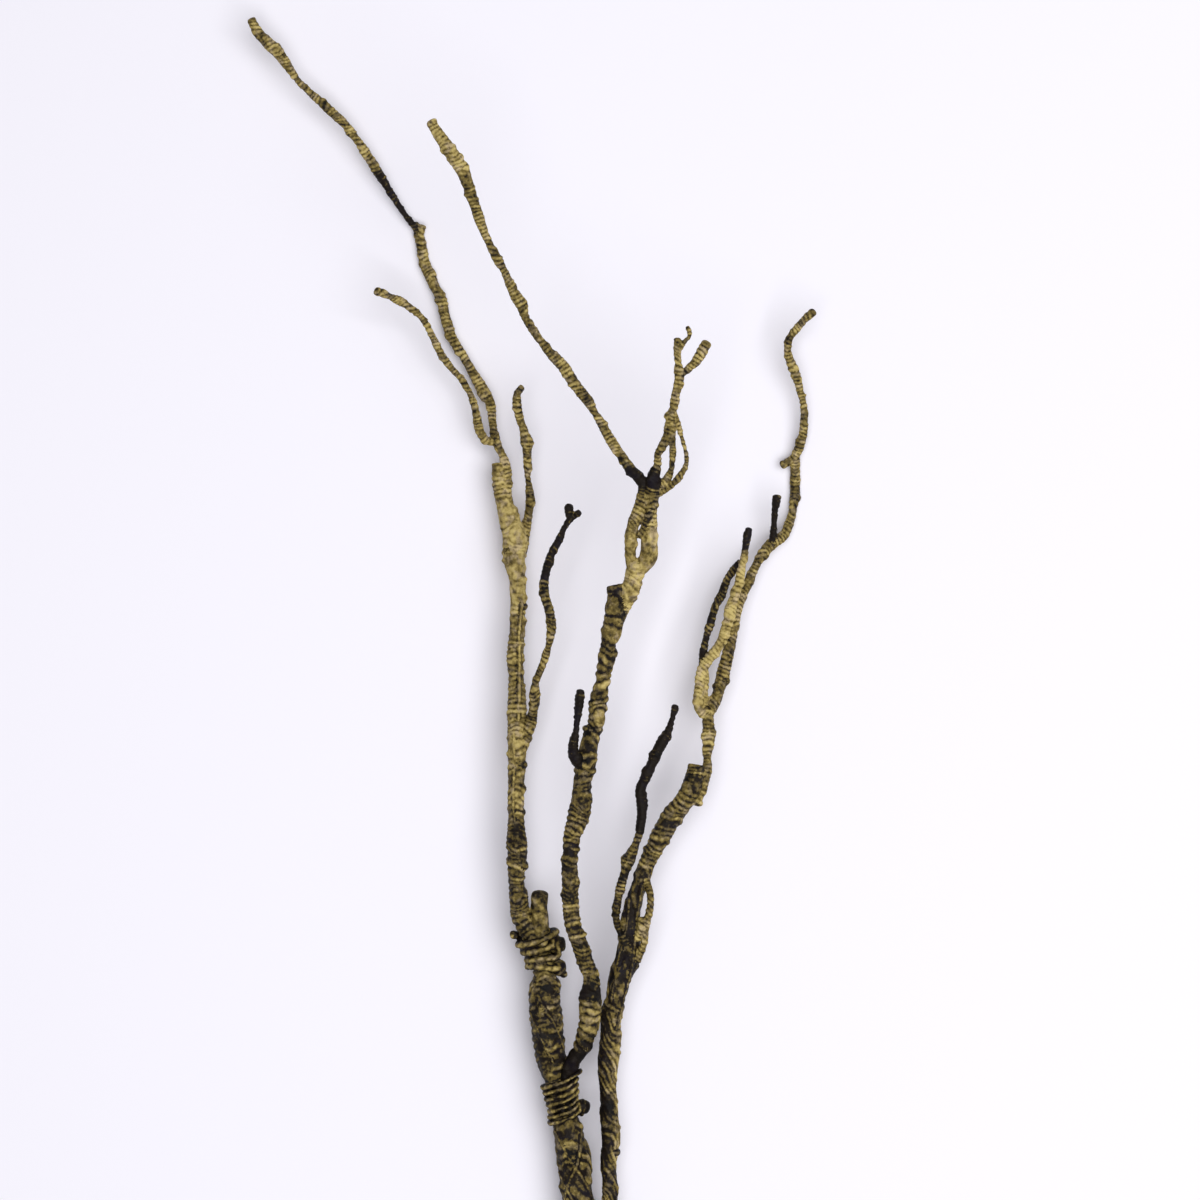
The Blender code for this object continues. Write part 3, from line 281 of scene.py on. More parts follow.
SIDE_TWIG = [
    (15.0, 229.0, 28.0, 2.4), (10.3, 237.5, 31.0, 1.8), (8.0, 245.0, 33.0, 1.8), (8.4, 252.0, 34.5, 2.3),
    (11.5, 266.0, 37.0, 2.2), (14.5, 275.5, 38.5, 3.3), (18.0, 283.0, 39.5, 2.0), (20.3, 292.0, 40.5, 2.3),
    (21.0, 302.0, 41.5, 2.8), (20.6, 311.0, 42.3, 2.8), (25.0, 321.0, 43.0, 2.6), (31.3, 334.5, 44.0, 3.0),
    (34.3, 340.0, 44.5, 1.8), (35.8, 345.0, 45.0, 1.5), (37.6, 352.0, 46.0, 1.9),
]
BOW_TWIG = [
    (18.5, 224.0, 28.0, 2.2), (22.2, 233.0, 30.5, 1.8), (23.4, 242.0, 32.0, 1.6), (25.2, 253.5, 33.0, 1.8),
    (24.4, 262.0, 32.0, 1.9), (21.0, 268.5, 29.5, 2.0),
]
SECOND_BUD = [
    (-15.3, 444.5, 53.2, 1.5), (-15.6, 450.5, 55.0, 2.7), (-15.5, 452.0, 55.3, 2.4),
]
BOW_BUD = [
    (18.5, 235.0, 29.5, 2.2), (20.4, 241.0, 31.5, 2.2), (20.6, 245.5, 32.5, 1.9),
]
LOOP_BUD = [
    (35.0, 495.5, 81.0, 1.8), (32.6, 496.8, 81.5, 1.5),
]
NODE_BUD = [
    (-91.0, 588.5, 3.2, 2.0), (-89.4, 593.5, 4.0, 1.9),
]
MAIN_KNOBS = [
    (-37.8, 298.5, 25.0, 2.2), (-37.6, 310.5, 24.0, 2.2), (-37.2, 322.5, 25.0, 2.6),
    (-37.4, 272.0, 26.0, 3.0), (-36.6, 401.5, 20.0, 2.2), (-53.0, 463.0, 15.5, 2.3),
    (-34.6, 199.0, 22.0, 2.6), (-6.5, 123.0, 18.5, 3.0), (-19.5, 128.0, 18.5, 3.0),
    (-46.0, 354.0, 22.5, 2.4), (-46.0, 338.5, 23.5, 2.2), (-49.5, 429.0, 17.0, 2.2),
    (-49.8, 441.5, 17.0, 2.2), (7.0, 20.0, 11.0, 3.2), (-13.5, 78.0, 16.5, 3.2),
]
MIDDLE_KNOBS = [
    (-5.6, 180.5, 29.0, 3.6), (-1.8, 368.5, 61.0, 2.0), (-10.6, 280.5, 49.5, 2.3),
    (-18.0, 282.0, 49.0, 2.2), (-10.8, 264.0, 47.5, 2.8), (-17.0, 248.0, 44.0, 2.6),
    (-3.2, 320.0, 56.0, 2.8), (-6.2, 304.0, 53.0, 3.2), (-13.0, 309.0, 53.0, 2.6),
    (-5.0, 353.0, 60.0, 2.5), (-7.6, 341.0, 58.0, 2.4), (4.6, 408.5, 66.0, 2.8),
    (4.4, 402.0, 65.5, 2.6),
]
RIGHT_KNOBS = [
    (34.6, 283.0, 31.5, 2.4), (40.4, 293.4, 32.0, 2.5), (49.3, 304.0, 30.0, 2.4), (9.8, 127.0, 19.5, 2.2),
    (9.4, 181.0, 22.5, 2.6), (22.6, 280.5, 31.5, 2.2), (38.6, 301.0, 32.5, 2.6), (30.5, 293.0, 32.5, 2.4),
    (64.6, 364.0, 21.5, 2.0), (56.8, 362.0, 21.5, 1.8),
]
# A knob is a thick turn of cord: how many degrees round the stem it reaches each way, its share of the
# reach to the knob's middle, its share of the knob's radius, the most that it climbs along the stem in
# radii, and how much nearer to the stem and how much thinner its ends are
KNOB_HALF_TURN = 62.0
KNOB_SINK = 0.76
KNOB_THICKNESS = 0.78
KNOB_CLIMB = 0.5
KNOB_DROP = 0.12
KNOB_TAPER = 0.35

# Bindings: lowest y, number of turns, rise in each turn, lean, and the cord's radius
CROTCH_BINDING = {"start": 143.5, "turns": 7.0, "pitch": 3.0, "lean": 1.0, "radius": 1.2}
STUB_BINDING = {"start": 218.5, "turns": 4.5, "pitch": 4.4, "lean": -2.4, "radius": 1.9}
FOOT_BINDING = {"start": 44.0, "turns": 6.0, "pitch": 3.0, "lean": 0.6, "radius": 1.2}
# Points in each turn, the cord's gap to the stem, how far a turn dips towards the foot on top, how uneven
# the cord's thickness is and the two waves that make it so, the step that moves a point clear of a stem,
# and how many points ahead the stem's direction is read
CORD_STEPS = 48
CORD_CLEARANCE = 0.6
CORD_SAG = 1.0
CORD_UNEVEN = 0.16
CORD_WAVES = (0.37, 0.11)
PUSH = 0.1
LOOK_AHEAD = 3

# Knots at the bindings' right side, as routes: from the root to the blunt head
CROTCH_KNOT = [(-11.3, 150.6, 18.5, 3.0), (-8.8, 150.1, 18.7, 3.8), (-6.6, 149.5, 18.8, 3.4)]
STUB_KNOTS = [
    [(-22.4, 220.4, 22.5, 3.4), (-20.4, 220.5, 22.8, 4.2), (-18.6, 220.6, 23.0, 3.6)],
    [(-24.8, 232.0, 23.5, 3.4), (-21.4, 232.2, 23.8, 4.3), (-18.8, 232.4, 24.0, 3.6)],
]

# Stretches wound in another way: lowest and highest y, then the layers and depth
MAIN_WINDINGS = [
    (-20.0, 142.0, ((5, 30.0, 1, 0.95), (2, 18.0, -1, 0.4), (1, 3.2, 1, 0.5)), 1.6),
    (165.0, 214.0, ((2, 7.5, -1, 0.85), (1, 3.4, 1, 0.7), (3, 26.0, 1, 0.5)), 1.7),
    (295.0, 338.0, ((1, 3.0, 1, 0.9), (3, 16.0, -1, 0.75)), 1.1),
    (402.0, 456.0, ((2, 6.6, 1, 0.85), (4, 44.0, 1, 0.75)), 1.0),
]
STUB_WINDINGS = [(225.0, 260.0, ((4, 40.0, 1, 0.9), (4, 44.0, -1, 0.8)), 0.8)]
MIDDLE_WINDINGS = [
    (140.0, 178.0, ((1, 5.0, 1, 0.6),), 0.7),
    (178.0, 212.0, ((1, 4.6, 1, 1.0), (2, 18.0, -1, 0.4)), 1.7),
    (306.0, 392.0, ((1, 4.2, -1, 1.0), (2, 16.0, 1, 0.5)), 1.6),
    (394.0, 414.0, ((1, 6.0, 1, 1.0), (2, 20.0, -1, 0.6)), 1.6),
]
RIGHT_WINDINGS = [
    (30.0, 198.0, ((9, 42.0, 1, 0.95), (2, 20.0, -1, 0.45)), 1.3),
    (198.0, 270.0, ((5, 60.0, 1, 0.95), (2, 16.0, -1, 0.5)), 1.3),
    (280.0, 326.0, ((1, 2.9, -1, 1.0), (2, 14.0, 1, 0.4)), 1.2),
]
STRAND_WINDINGS = [(417.0, 440.0, ((3, 22.0, 1, 0.9), (1, 3.4, 1, 0.6)), 0.8)]

# Paint: lowest and highest y, then how much ochre was brushed on, and how black it was left
TRUNK_TONES = [
    (-20.0, 142.0, 0.4, 0.35), (142.0, 172.0, 0.4, 0.4), (172.0, 214.0, 0.42, 0.4),
    (214.0, 240.0, 0.5, 0.25), (240.0, 300.0, 0.48, 0.25), (300.0, 400.0, 0.66, 0.08),
    (400.0, 456.0, 0.98, 0.0), (456.0, 476.0, 0.8, 0.05),
]
STUB_TONES = [(225.0, 262.0, 0.5, 0.25)]
LONG_LEFT_TONES = [(440.0, 480.0, 0.7, 0.05), (592.0, 622.0, 0.15, 0.55), (672.0, 700.0, 0.65, 0.1)]
DARK_TONES = [(330.0, 372.0, 0.52, 0.15), (372.0, 412.0, 0.52, 0.25), (412.0, 460.0, 0.22, 0.65)]
MIDDLE_TONES = [
    (140.0, 182.0, 0.1, 0.8), (186.0, 204.0, 0.55, 0.15), (206.0, 213.0, 0.0, 0.9),
    (215.0, 250.0, 0.45, 0.3), (255.0, 306.0, 0.42, 0.38), (306.0, 395.0, 0.5, 0.25),
    (396.0, 414.0, 0.3, 0.5),
]
LEFT_STRAND_TONES = [(417.0, 440.0, 0.9, 0.0), (460.0, 469.0, 0.0, 1.0), (615.0, 645.0, 0.85, 0.0)]
BRIGHT_TONES = [(340.0, 428.0, 0.95, 0.0), (431.0, 470.0, 0.25, 0.6)]
RIGHT_TONES = [
    (30.0, 198.0, 0.42, 0.35), (198.0, 270.0, 0.34, 0.45), (270.0, 330.0, 0.5, 0.25),
]
SIDE_TONES = [(228.0, 288.0, 0.45, 0.3), (288.0, 356.0, 0.1, 0.8)]
MIDDLE_BUD_TONES = [(300.0, 370.0, 0.1, 0.8)]
CROSSING_TONES = [(430.0, 460.0, 0.5, 0.3)]
BUD_TONES = [(430.0, 460.0, 0.2, 0.7)]
BACK_TONES = [(365.0, 430.0, 0.3, 0.5)]
BINDING_TONES = [(-20.0, 800.0, 0.5, 0.2)]
KNOT_TONES = [(-20.0, 800.0, 0.4, 0.4)]
KNOB_TONES = [(-20.0, 800.0, 0.35, 0.4)]
# The ochre and the black where no stretch gives another tone
PLAIN_TONE = (0.62, 0.1)
# More ochre on the side that faces right, and less on the left, partly the paint and partly painted light
# from the right: lowest and highest y, and how much
RIGHT_PAINT_AND_LIGHT_LEANS = [(120.0, 197.0, 0.45)]
# What is wound round a stem is paler on its outer side and darker towards the stem, both thinner paint and
# painted shade
# where cord meets stem: the least paint on the outer side, what a crest adds, and the power by which it
# falls off towards the stem
OUTER_PAINT = 0.45
CREST_PAINT = 0.55
PAINT_FALL = 3
# The share of the rim's crests that the paint finds inside a cupped end
CUP_PAINT = 0.1

# Strands laid along a stem: their radius, then each point's y and its angle, 90 facing straight up
MAIN_STRANDS = [
    (1.2, (403.0, 62.0), (385.0, 74.0), (366.0, 68.0), (345.0, 84.0)),
    (1.1, (338.0, 112.0), (322.0, 104.0), (308.0, 110.0), (294.0, 100.0)),
    (1.3, (140.0, 150.0), (126.0, 105.0), (112.0, 55.0), (100.0, 20.0)),
    (1.3, (138.0, 30.0), (124.0, 75.0), (110.0, 125.0), (98.0, 165.0)),
    (1.2, (118.0, 160.0), (106.0, 112.0), (92.0, 70.0), (78.0, 30.0)),
    (1.2, (214.0, 140.0), (203.0, 100.0), (192.0, 62.0), (180.0, 30.0)),
    (1.2, (200.0, 160.0), (188.0, 120.0), (174.0, 84.0)),
]
RIGHT_STRANDS = [
    (1.2, (262.0, 70.0), (245.0, 52.0), (225.0, 60.0), (204.0, 46.0), (190.0, 60.0)),
    (1.1, (255.0, 130.0), (238.0, 116.0), (220.0, 128.0), (203.0, 112.0)),
]
# How far a laid strand's middle lies under the stem's surface, as a share of the strand's radius
LAID_DEPTH = 0.35

# Lumps of glue and cord: one for about this length of stem, their widths, the stem's radius from which
# they are that wide, their height as a share of the width, and how raised the paint takes them to be
LUMP_SPACING = 3.2
LUMP_WIDTHS = (0.9, 1.9)
LUMP_STEM_RADIUS = 3.0
LUMP_HEIGHT = 0.6
LUMP_CRESTS = (0.4, 0.95)

# Finishes: colours as sRGB hex
COATING_BLACK = "0b0908"
COATING_BROWN = "1a130d"
COATING_PURPLE = "151017"
THIN_OLIVE = "382f18"
OLIVE = "6a5b30"
OCHRE = "a49157"
PALE_OCHRE = "c7b474"
TAUPE = "95856c"
FLOOR_PALE = "f4f2fa"
LIGHT_WHITE = "ffffff"
COATING_STOPS = [(0.3, COATING_BLACK), (0.5, COATING_BROWN), (0.68, COATING_PURPLE)]
PAINT_STOPS = [(0.1, THIN_OLIVE), (0.42, OLIVE), (0.7, OCHRE), (1.0, PALE_OCHRE)]

# Sizes in the finishes: brush marks, mottling, patches of thicker paint, places where it is greyer, paper
# fibres with paint crumbs, and the backdrop card's fibre
MARK_SIZE = 1.5
MOTTLE_SIZE = 3.2
PATCH_SIZE = 9.0
GREY_SIZE = 4.0
FIBRE_SIZE = 0.9
CARD_FIBRE_SIZE = 0.8
# How much each thing adds to the paint's thickness
# The crests' weight also darkens the grooves as painted shade
CREST_PAINT_AND_SHADE_WEIGHT = 2.0
OCHRE_WEIGHT = 1.4
BLACK_WEIGHT = -1.0
MARK_WEIGHT = 1.6
MOTTLE_WEIGHT = 1.8
PATCH_WEIGHT = 0.9
# The greyest share of the paint, the cover from which it is opaque, the roughness of bare coating and of
# full paint, the low specular level of both, and the strength and height of the fibres' bump
GREYEST = 0.6
OPAQUE_COVER = 0.3
COATING_ROUGHNESS = 0.5
PAINT_ROUGHNESS = 0.82
SPECULAR_LEVEL = 0.12
FIBRE_STRENGTH = 0.8
FIBRE_HEIGHT = 0.5

# Studio, in metres: the floor's width, and the light's place, size and power in watts
FLOOR_WIDTH = 12.0
KEY_PLACE = (0.6, 0.2, 2.6)
KEY_SIZE = 3.0
KEY_POWER = 92.0
WORLD_STRENGTH = 0.2
CARD_ROUGHNESS = 0.9
CARD_BUMP_STRENGTH = 0.05
CARD_BUMP_HEIGHT = 0.05


def value_noise(points, size, seed):
    """Smooth noise from -1 to 1 at each point, with features about this many millimetres across."""
    drawn = np.random.default_rng(seed).uniform(-1, 1, NOISE_DRAWS)
    cell = points / size
    corner = np.floor(cell).astype(np.int64)
    share = cell - corner
    share = share * share * (3 - 2 * share)
    total = 0.0
    for step in np.ndindex(2, 2, 2):
        x, y, z = (corner + step)[..., 0], (corner + step)[..., 1], (corner + step)[..., 2]
        weight = np.prod(np.where(step, share, 1 - share), axis=-1)
        spread = x * NOISE_SPREAD[0] ^ y * NOISE_SPREAD[1] ^ z * NOISE_SPREAD[2]
        total = total + weight * drawn[spread % NOISE_DRAWS]
    return total


def curve_through(route, step):
    """Middles and radii along the smooth curve through a route, about a step apart."""
    points = np.array(route, float)
    padded = np.vstack([points[:1], points, points[-1:]])
    stretches = []
    for before, start, end, after in zip(padded, padded[1:], padded[2:], padded[3:]):
        pieces = max(1, round(np.linalg.norm(end[:3] - start[:3]) / step))
        share = np.linspace(0, 1, pieces, endpoint=False)[:, None]
        slope = (end - before) * share
        bow = (2 * before - 5 * start + 4 * end - after) * share**2
        sway = (3 * start - before - 3 * end + after) * share**3
        stretches.append(start + 0.5 * (slope + bow + sway))
    line = np.vstack(stretches + [points[-1:]])
    return line[:, :3], line[:, 3]


def frames_along(middles):
    """Tangent, rightward and upward directions at each point, carried along without twist."""
    tangents = np.gradient(middles, axis=0)
    tangents /= np.linalg.norm(tangents, axis=1, keepdims=True)
    right = np.cross(tangents[0], (0, 0, 1))
    rights = []
    for tangent in tangents:
        right = right - tangent * right.dot(tangent)
        right = right / np.linalg.norm(right)
        rights.append(right)
    rights = np.array(rights)
    return tangents, rights, np.cross(rights, tangents)


def within(y, low, high, edge):
    """1 inside a stretch of y and 0 outside it, with soft edges this wide."""
    return np.clip(np.minimum(y - low, high - y) / edge + 0.5, 0, 1)


def cord_crests(along, angles, layer, wander, seed):
    """Round cords side by side on the unrolled stem: 1 on a cord's crest, 0 in the groove beside it."""
    starts, lead, hand, _ = layer
    share = angles / (2 * math.pi)
    turn = starts * (along / lead - hand * share) + wander
    count = np.floor(turn).astype(np.int64)
    drawn = np.random.default_rng(seed).uniform(LOWEST_CORD, 1.0, CORD_DRAWS)
    next_drawn = drawn[(count + hand * starts) % CORD_DRAWS]
    strength = (1 - share) * drawn[count % CORD_DRAWS] + share * next_drawn
    return strength * np.sqrt(np.clip(1 - (2 * (turn - count) - 1) ** 2, 0, 1))


def wound_crests(along, angles, skin, layers, seed):
    """Layers of cord over each other. Which of them lies on top changes from place to place."""
    wide = value_noise(skin, WIDE_BEND, seed)
    wander = WIDE_STRAY * wide + FINE_STRAY * value_noise(skin, FINE_BEND, seed + FINE_SEED)
    top = np.zeros(skin.shape[:2])
    for index, layer in enumerate(layers):
        crests = cord_crests(along, angles, layer, wander, seed + CORD_SEED + index)
        change = LAYER_CHANGE * value_noise(skin, LAYER_PLACE, seed + CHANGE_SEED + index)
        top = np.maximum(top, crests * np.clip(layer[3] + change, 0, 1))
    return top


def stem_tube(route, winding, seed, windings=(), tones=(), paint_and_light_leans=(), around=None,
              end=ROUND_END, start=ROUND_END):
    """Points and paint of one wound stem, swept along its route with its relief.

    Blender's operators can't wind a relief round a branching stem, so its rings are worked out here.
    """
    middles, radii = curve_through(route, RING_STEP)
    tangents, rights, ups = frames_along(middles)
    steps = np.linalg.norm(np.diff(middles, axis=0), axis=1)
    along = np.concatenate([[0], np.cumsum(steps)])[:, None]
    sides = max(FEWEST_SIDES, round(2 * math.pi * radii.max() / SIDE_STEP))
    angles = np.linspace(0, 2 * math.pi, sides, endpoint=False)[None, :]
    out = rights[:, None] * np.cos(angles)[..., None] + ups[:, None] * np.sin(angles)[..., None]
    skin = middles[:, None] + out * radii[:, None, None]
    y = skin[..., 1]

    layers, depth = winding
    raised = wound_crests(along, angles, skin, layers, seed)
    depth = np.full(y.shape, depth)
    for index, (low, high, other_layers, other_depth) in enumerate(windings):
        share = within(y, low, high, WINDING_EDGE)
        other_seed = seed + STRETCH_SEED + STRETCH_SEED_STEP * index
        crests = wound_crests(along, angles, skin, other_layers, other_seed)
        raised = raised + (crests - raised) * share
        depth = depth + (other_depth - depth) * share

    height = depth * (raised - MEAN_CREST)
    height = height + SWELL_HEIGHT * value_noise(skin, SWELL_SIZE, seed + SWELL_SEED)
    height = height + CRUMB_HEIGHT * value_noise(skin, CRUMB_SIZE, seed + CRUMB_SEED)
    dice = np.random.default_rng(seed + LUMP_SEED)
    for _ in range(int(along[-1, 0] / LUMP_SPACING)):
        ring = dice.integers(len(middles))
        spot = skin[ring, dice.integers(sides)]
        width = dice.uniform(*LUMP_WIDTHS) * min(1.0, radii[ring] / LUMP_STEM_RADIUS)
        swell = np.exp(-np.sum((skin - spot) ** 2, axis=-1) / width**2)
        height = height + LUMP_HEIGHT * width * swell
        raised = np.maximum(raised, swell * dice.uniform(*LUMP_CRESTS))
    limit = RELIEF_LIMIT * radii[:, None]
    skin = skin + out * np.clip(height, -limit, limit)[..., None]
    # Paint follows the crests, so the grooves stay dark: dry-brush paint that misses them, and painted
    # shade that falls in them
    crests = raised**2
    # What is wound round a stem gets darker towards the stem: thinner paint, and painted shade between cord
    # and stem
    if around is not None:
        facing = np.sum(out * outward(middles, around)[:, None], axis=-1)
        crests = (OUTER_PAINT + CREST_PAINT * crests) * np.clip(facing, 0, 1) ** PAINT_FALL

    ochre = np.full(y.shape, PLAIN_TONE[0])
    dark = np.full(y.shape, PLAIN_TONE[1])
    for low, high, brushed, black in tones:
        share = within(y, low, high, TONE_EDGE)
        ochre = ochre + (brushed - ochre) * share
        dark = dark + (black - dark) * share
    # Paler on the side that faces right and darker on the left: partly ochre paint, partly painted light
    # from the right
    for low, high, lean in paint_and_light_leans:
        ochre = ochre + lean * out[..., 0] * within(y, low, high, LEAN_EDGE)
    paint = np.stack([crests, ochre, dark, np.ones(y.shape)], axis=-1)

    skin, paint = add_end(skin, paint, middles[0], -tangents[0], radii[0], start, first=True)
    skin, paint = add_end(skin, paint, middles[-1], tangents[-1], radii[-1], end, first=False)
    return skin, paint


def outward(middles, around):
    """Direction at each point away from the nearest point of a stem's line."""
    away = []
    for middle in middles:
        nearest = around[np.argmin(np.sum((around - middle) ** 2, axis=1))]
        away.append((middle - nearest) / max(np.linalg.norm(middle - nearest), LEAST_DISTANCE))
    return np.array(away)


def add_end(skin, paint, middle, ahead, radius, shape, first):
    """Closes a tube with rings beyond its first or last one."""
    ring, tone = (skin[0], paint[0]) if first else (skin[-1], paint[-1])
    for beyond, width in shape:
        closing = middle + (ring - middle) * width + ahead * beyond * radius
        inside = tone * (CUP_PAINT if beyond < 0 else 1.0, 1.0, 1.0, 1.0)
        if first:
            skin = np.concatenate([closing[None], skin])
            paint = np.concatenate([inside[None], paint])
        else:
            skin = np.concatenate([skin, closing[None]])
            paint = np.concatenate([paint, inside[None]])
    return skin, paint


def tube_object(name, skin):
    """A mesh object of a tube's rings, with its two ends closed."""
    rings, sides, _ = skin.shape
    first = np.arange(rings * sides).reshape(rings, sides)
    beyond = np.roll(first, -1, axis=1)
    quads = np.stack([first[:-1], first[1:], beyond[1:], beyond[:-1]], axis=-1).reshape(-1, 4)
    faces = quads.tolist() + [first[0].tolist(), first[-1][::-1].tolist()]
    mesh = bpy.data.meshes.new(name)
    mesh.from_pydata((skin.reshape(-1, 3) * MM).tolist(), [], faces)
    made = bpy.data.objects.new(name, mesh)
    bpy.context.scene.collection.objects.link(made)
    return made


def select_only(*things):
    """Selects these objects alone and makes the first of them active."""
    bpy.ops.object.select_all(action="DESELECT")
    for thing in things:
        thing.select_set(True)
    bpy.context.view_layer.objects.active = things[0]


def use_modifier(thing, kind, **settings):
    """Adds a modifier with these settings and applies it."""
    select_only(thing)
    bpy.ops.object.modifier_add(type=kind)
    modifier = thing.modifiers[-1]
    for name, value in settings.items():
        setattr(modifier, name, value)
    bpy.ops.object.modifier_apply(modifier=modifier.name)


def one_skin(name, tubes):
    """Joins tubes into one piece under one skin, which carries their paint as the relief attribute."""
    made = [tube_object(name, skin) for skin, _ in tubes]
    select_only(*made)
    if len(made) > 1:
        bpy.ops.object.join()
    piece = bpy.context.view_layer.objects.active
    piece.name = name
    use_modifier(piece, "REMESH", mode="VOXEL", voxel_size=SKIN_VOXEL * MM)
    use_modifier(piece, "SMOOTH", factor=0.5, iterations=1)
    triangles = 2 * len(piece.data.polygons)
    if triangles > TRIANGLE_LIMIT:
        use_modifier(piece, "DECIMATE", ratio=TRIANGLE_LIMIT / triangles)

    sources = np.concatenate([skin.reshape(-1, 3) for skin, _ in tubes])
    paints = np.concatenate([paint.reshape(-1, 4) for _, paint in tubes])
    tree = KDTree(len(sources))
    for index, place in enumerate(sources.tolist()):
        tree.insert(place, index)
    tree.balance()
    count = len(piece.data.vertices)
    places = np.zeros(count * 3, np.float32)
    piece.data.vertices.foreach_get("co", places)
    places = places.reshape(-1, 3)
    nearest = [tree.find(place)[1] for place in (places / MM).tolist()]
    attribute = piece.data.color_attributes.new("relief", "FLOAT_COLOR", "POINT")
    attribute.data.foreach_set("color", paints[nearest].astype(np.float32).ravel())
    places[:, 2] = np.maximum(places[:, 2], 0.0)
    piece.data.vertices.foreach_set("co", places.ravel())
    piece.data.update()
    piece.data.shade_smooth()
    return piece


def knob_tube(place, lines, seed, tones):
    """A knob: a thick turn of cord that bulges out of the stem it lies on."""
    *middle, radius = place
    radius = radius * KNOB_THICKNESS
    middle = np.array(middle)
    line, frames = min(lines, key=lambda pair: np.min(np.sum((pair[0] - middle) ** 2, axis=1)))
    at = int(np.argmin(np.sum((line - middle) ** 2, axis=1)))
    tangent = frames[at]
    off = middle - line[at]
    off = off - tangent * off.dot(tangent)
    reach = np.linalg.norm(off) * KNOB_SINK
    out = off / np.linalg.norm(off)
    across = np.cross(tangent, out)
    dice = np.random.default_rng(seed)
    climb = dice.uniform(-KNOB_CLIMB, KNOB_CLIMB) * radius
    route = []
    for share in (-1.0, -0.5, 0.0, 0.5, 1.0):
        turn = math.radians(KNOB_HALF_TURN * share)
        side = out * math.cos(turn) + across * math.sin(turn)
        there = line[at] + side * reach * (1 - KNOB_DROP * share**2)
        route.append((*(there + tangent * climb * share), radius * (1 - KNOB_TAPER * share**2)))
    return stem_tube(route, KNOB_WINDING, seed, tones=tones, around=line)


def laid_strand(stem, marks, seed, tones):
    """A strand of cord that lies along a stem, two thirds of it sunk in."""
    middles, radii = curve_through(stem, RING_STEP)
    _, rights, ups = frames_along(middles)
    radius, *points = marks
    route = []
    for y, degrees in points:
        index = int(np.argmin(np.abs(middles[:, 1] - y)))
        angle = math.radians(degrees)
        out = rights[index] * math.cos(angle) + ups[index] * math.sin(angle)
        place = middles[index] + out * (radii[index] - LAID_DEPTH * radius)
        route.append((*place, radius))
    return stem_tube(route, LAID_WINDING, seed, tones=tones, around=middles)


def stem_piece(name, stem, windings, tones, branches, knobs, strands, seed, paint_and_light_leans=(), start=ROUND_END):
    """A stem with its branches, knobs and laid strands, as one piece."""
    tubes = [stem_tube(stem, STEM_WINDING, seed, windings, tones, paint_and_light_leans, end=CUPPED_END, start=start)]
    lines = []
    for route in [stem] + [branch[0] for branch in branches]:
        middles, _ = curve_through(route, ROUTE_STEP)
        lines.append((middles, frames_along(middles)[0]))
    for index, (route, winding, branch_windings, branch_tones) in enumerate(branches):
        branch_seed = seed + BRANCH_SEED + BRANCH_SEED_STEP * index
        tubes.append(stem_tube(route, winding, branch_seed, branch_windings, branch_tones))
    for index, place in enumerate(knobs):
        tubes.append(knob_tube(place, lines, seed + KNOB_SEED + SMALL_SEED_STEP * index, KNOB_TONES))
    for index, marks in enumerate(strands):
        tubes.append(laid_strand(stem, marks, seed + STRAND_SEED + SMALL_SEED_STEP * index, tones))
    return one_skin(name, tubes)


def binding_route(members, size, beside=()):
    """Middles of a cord wound taut round one or two stems, clear of what stands beside them."""
    curves = [curve_through(member, ROUTE_STEP) for member in members]
    near = curves + [curve_through(other, ROUTE_STEP) for other in beside]
    middles = np.vstack([curve[0] for curve in near])
    radii = np.concatenate([curve[1] for curve in near])
    room = radii + CORD_CLEARANCE + size["radius"]
    base = curves[0][0]
    route = []
    for index in range(round(size["turns"] * CORD_STEPS) + 1):
        angle = -2 * math.pi * index / CORD_STEPS
        y = size["start"] + size["pitch"] * index / CORD_STEPS + size["lean"] * math.cos(angle)
        y = y - CORD_SAG * max(0.0, math.sin(angle))
        at = int(np.argmin(np.abs(base[:, 1] - y)))
        tangent = base[min(at + LOOK_AHEAD, len(base) - 1)] - base[at]
        tangent = tangent / np.linalg.norm(tangent)
        right = np.cross(tangent, (0, 0, 1))
        right = right / np.linalg.norm(right)
        out = right * math.cos(angle) + np.cross(right, tangent) * math.sin(angle)
        level = base[at] + tangent * ((y - base[at][1]) / tangent[1])
        choices = []
        for centres, widths in curves:
            here = int(np.argmin(np.abs(centres[:, 1] - y)))
            offset = centres[here] - base[at]
            offset = offset - tangent * offset.dot(tangent)
            choices.append(offset + out * (widths[here] + CORD_CLEARANCE + size["radius"]))
        place = level + max(choices, key=lambda choice: choice.dot(out))
        while np.any(np.linalg.norm(middles - place, axis=1) < room):
            place = place + out * PUSH
        fast, slow = [math.sin(index * wave) for wave in CORD_WAVES]
        route.append((*place, size["radius"] * (1 + CORD_UNEVEN * fast * slow)))
    return route


def binding_piece(name, members, size, knots, seed, beside=()):
    """A binding of two-ply cord with its knots, as one piece."""
    line = np.vstack([curve_through(member, ROUTE_STEP)[0] for member in members])
    route = binding_route(members, size, beside)
    tubes = [stem_tube(route, BINDING_WINDING, seed, tones=BINDING_TONES, around=line)]
    for index, knot in enumerate(knots):
        knot_seed = seed + KNOT_SEED + SMALL_SEED_STEP * index
        tubes.append(stem_tube(knot, KNOT_WINDING, knot_seed, tones=KNOT_TONES))
    return one_skin(name, tubes)


def linear(hex_colour):
    """An sRGB hex colour as Blender's linear colour."""
    shades = []
    for start in (0, 2, 4):
        shade = int(hex_colour[start : start + 2], 16) / 255
        shades.append(shade / 12.92 if shade <= 0.04045 else ((shade + 0.055) / 1.055) ** 2.4)
    return (*shades, 1.0)


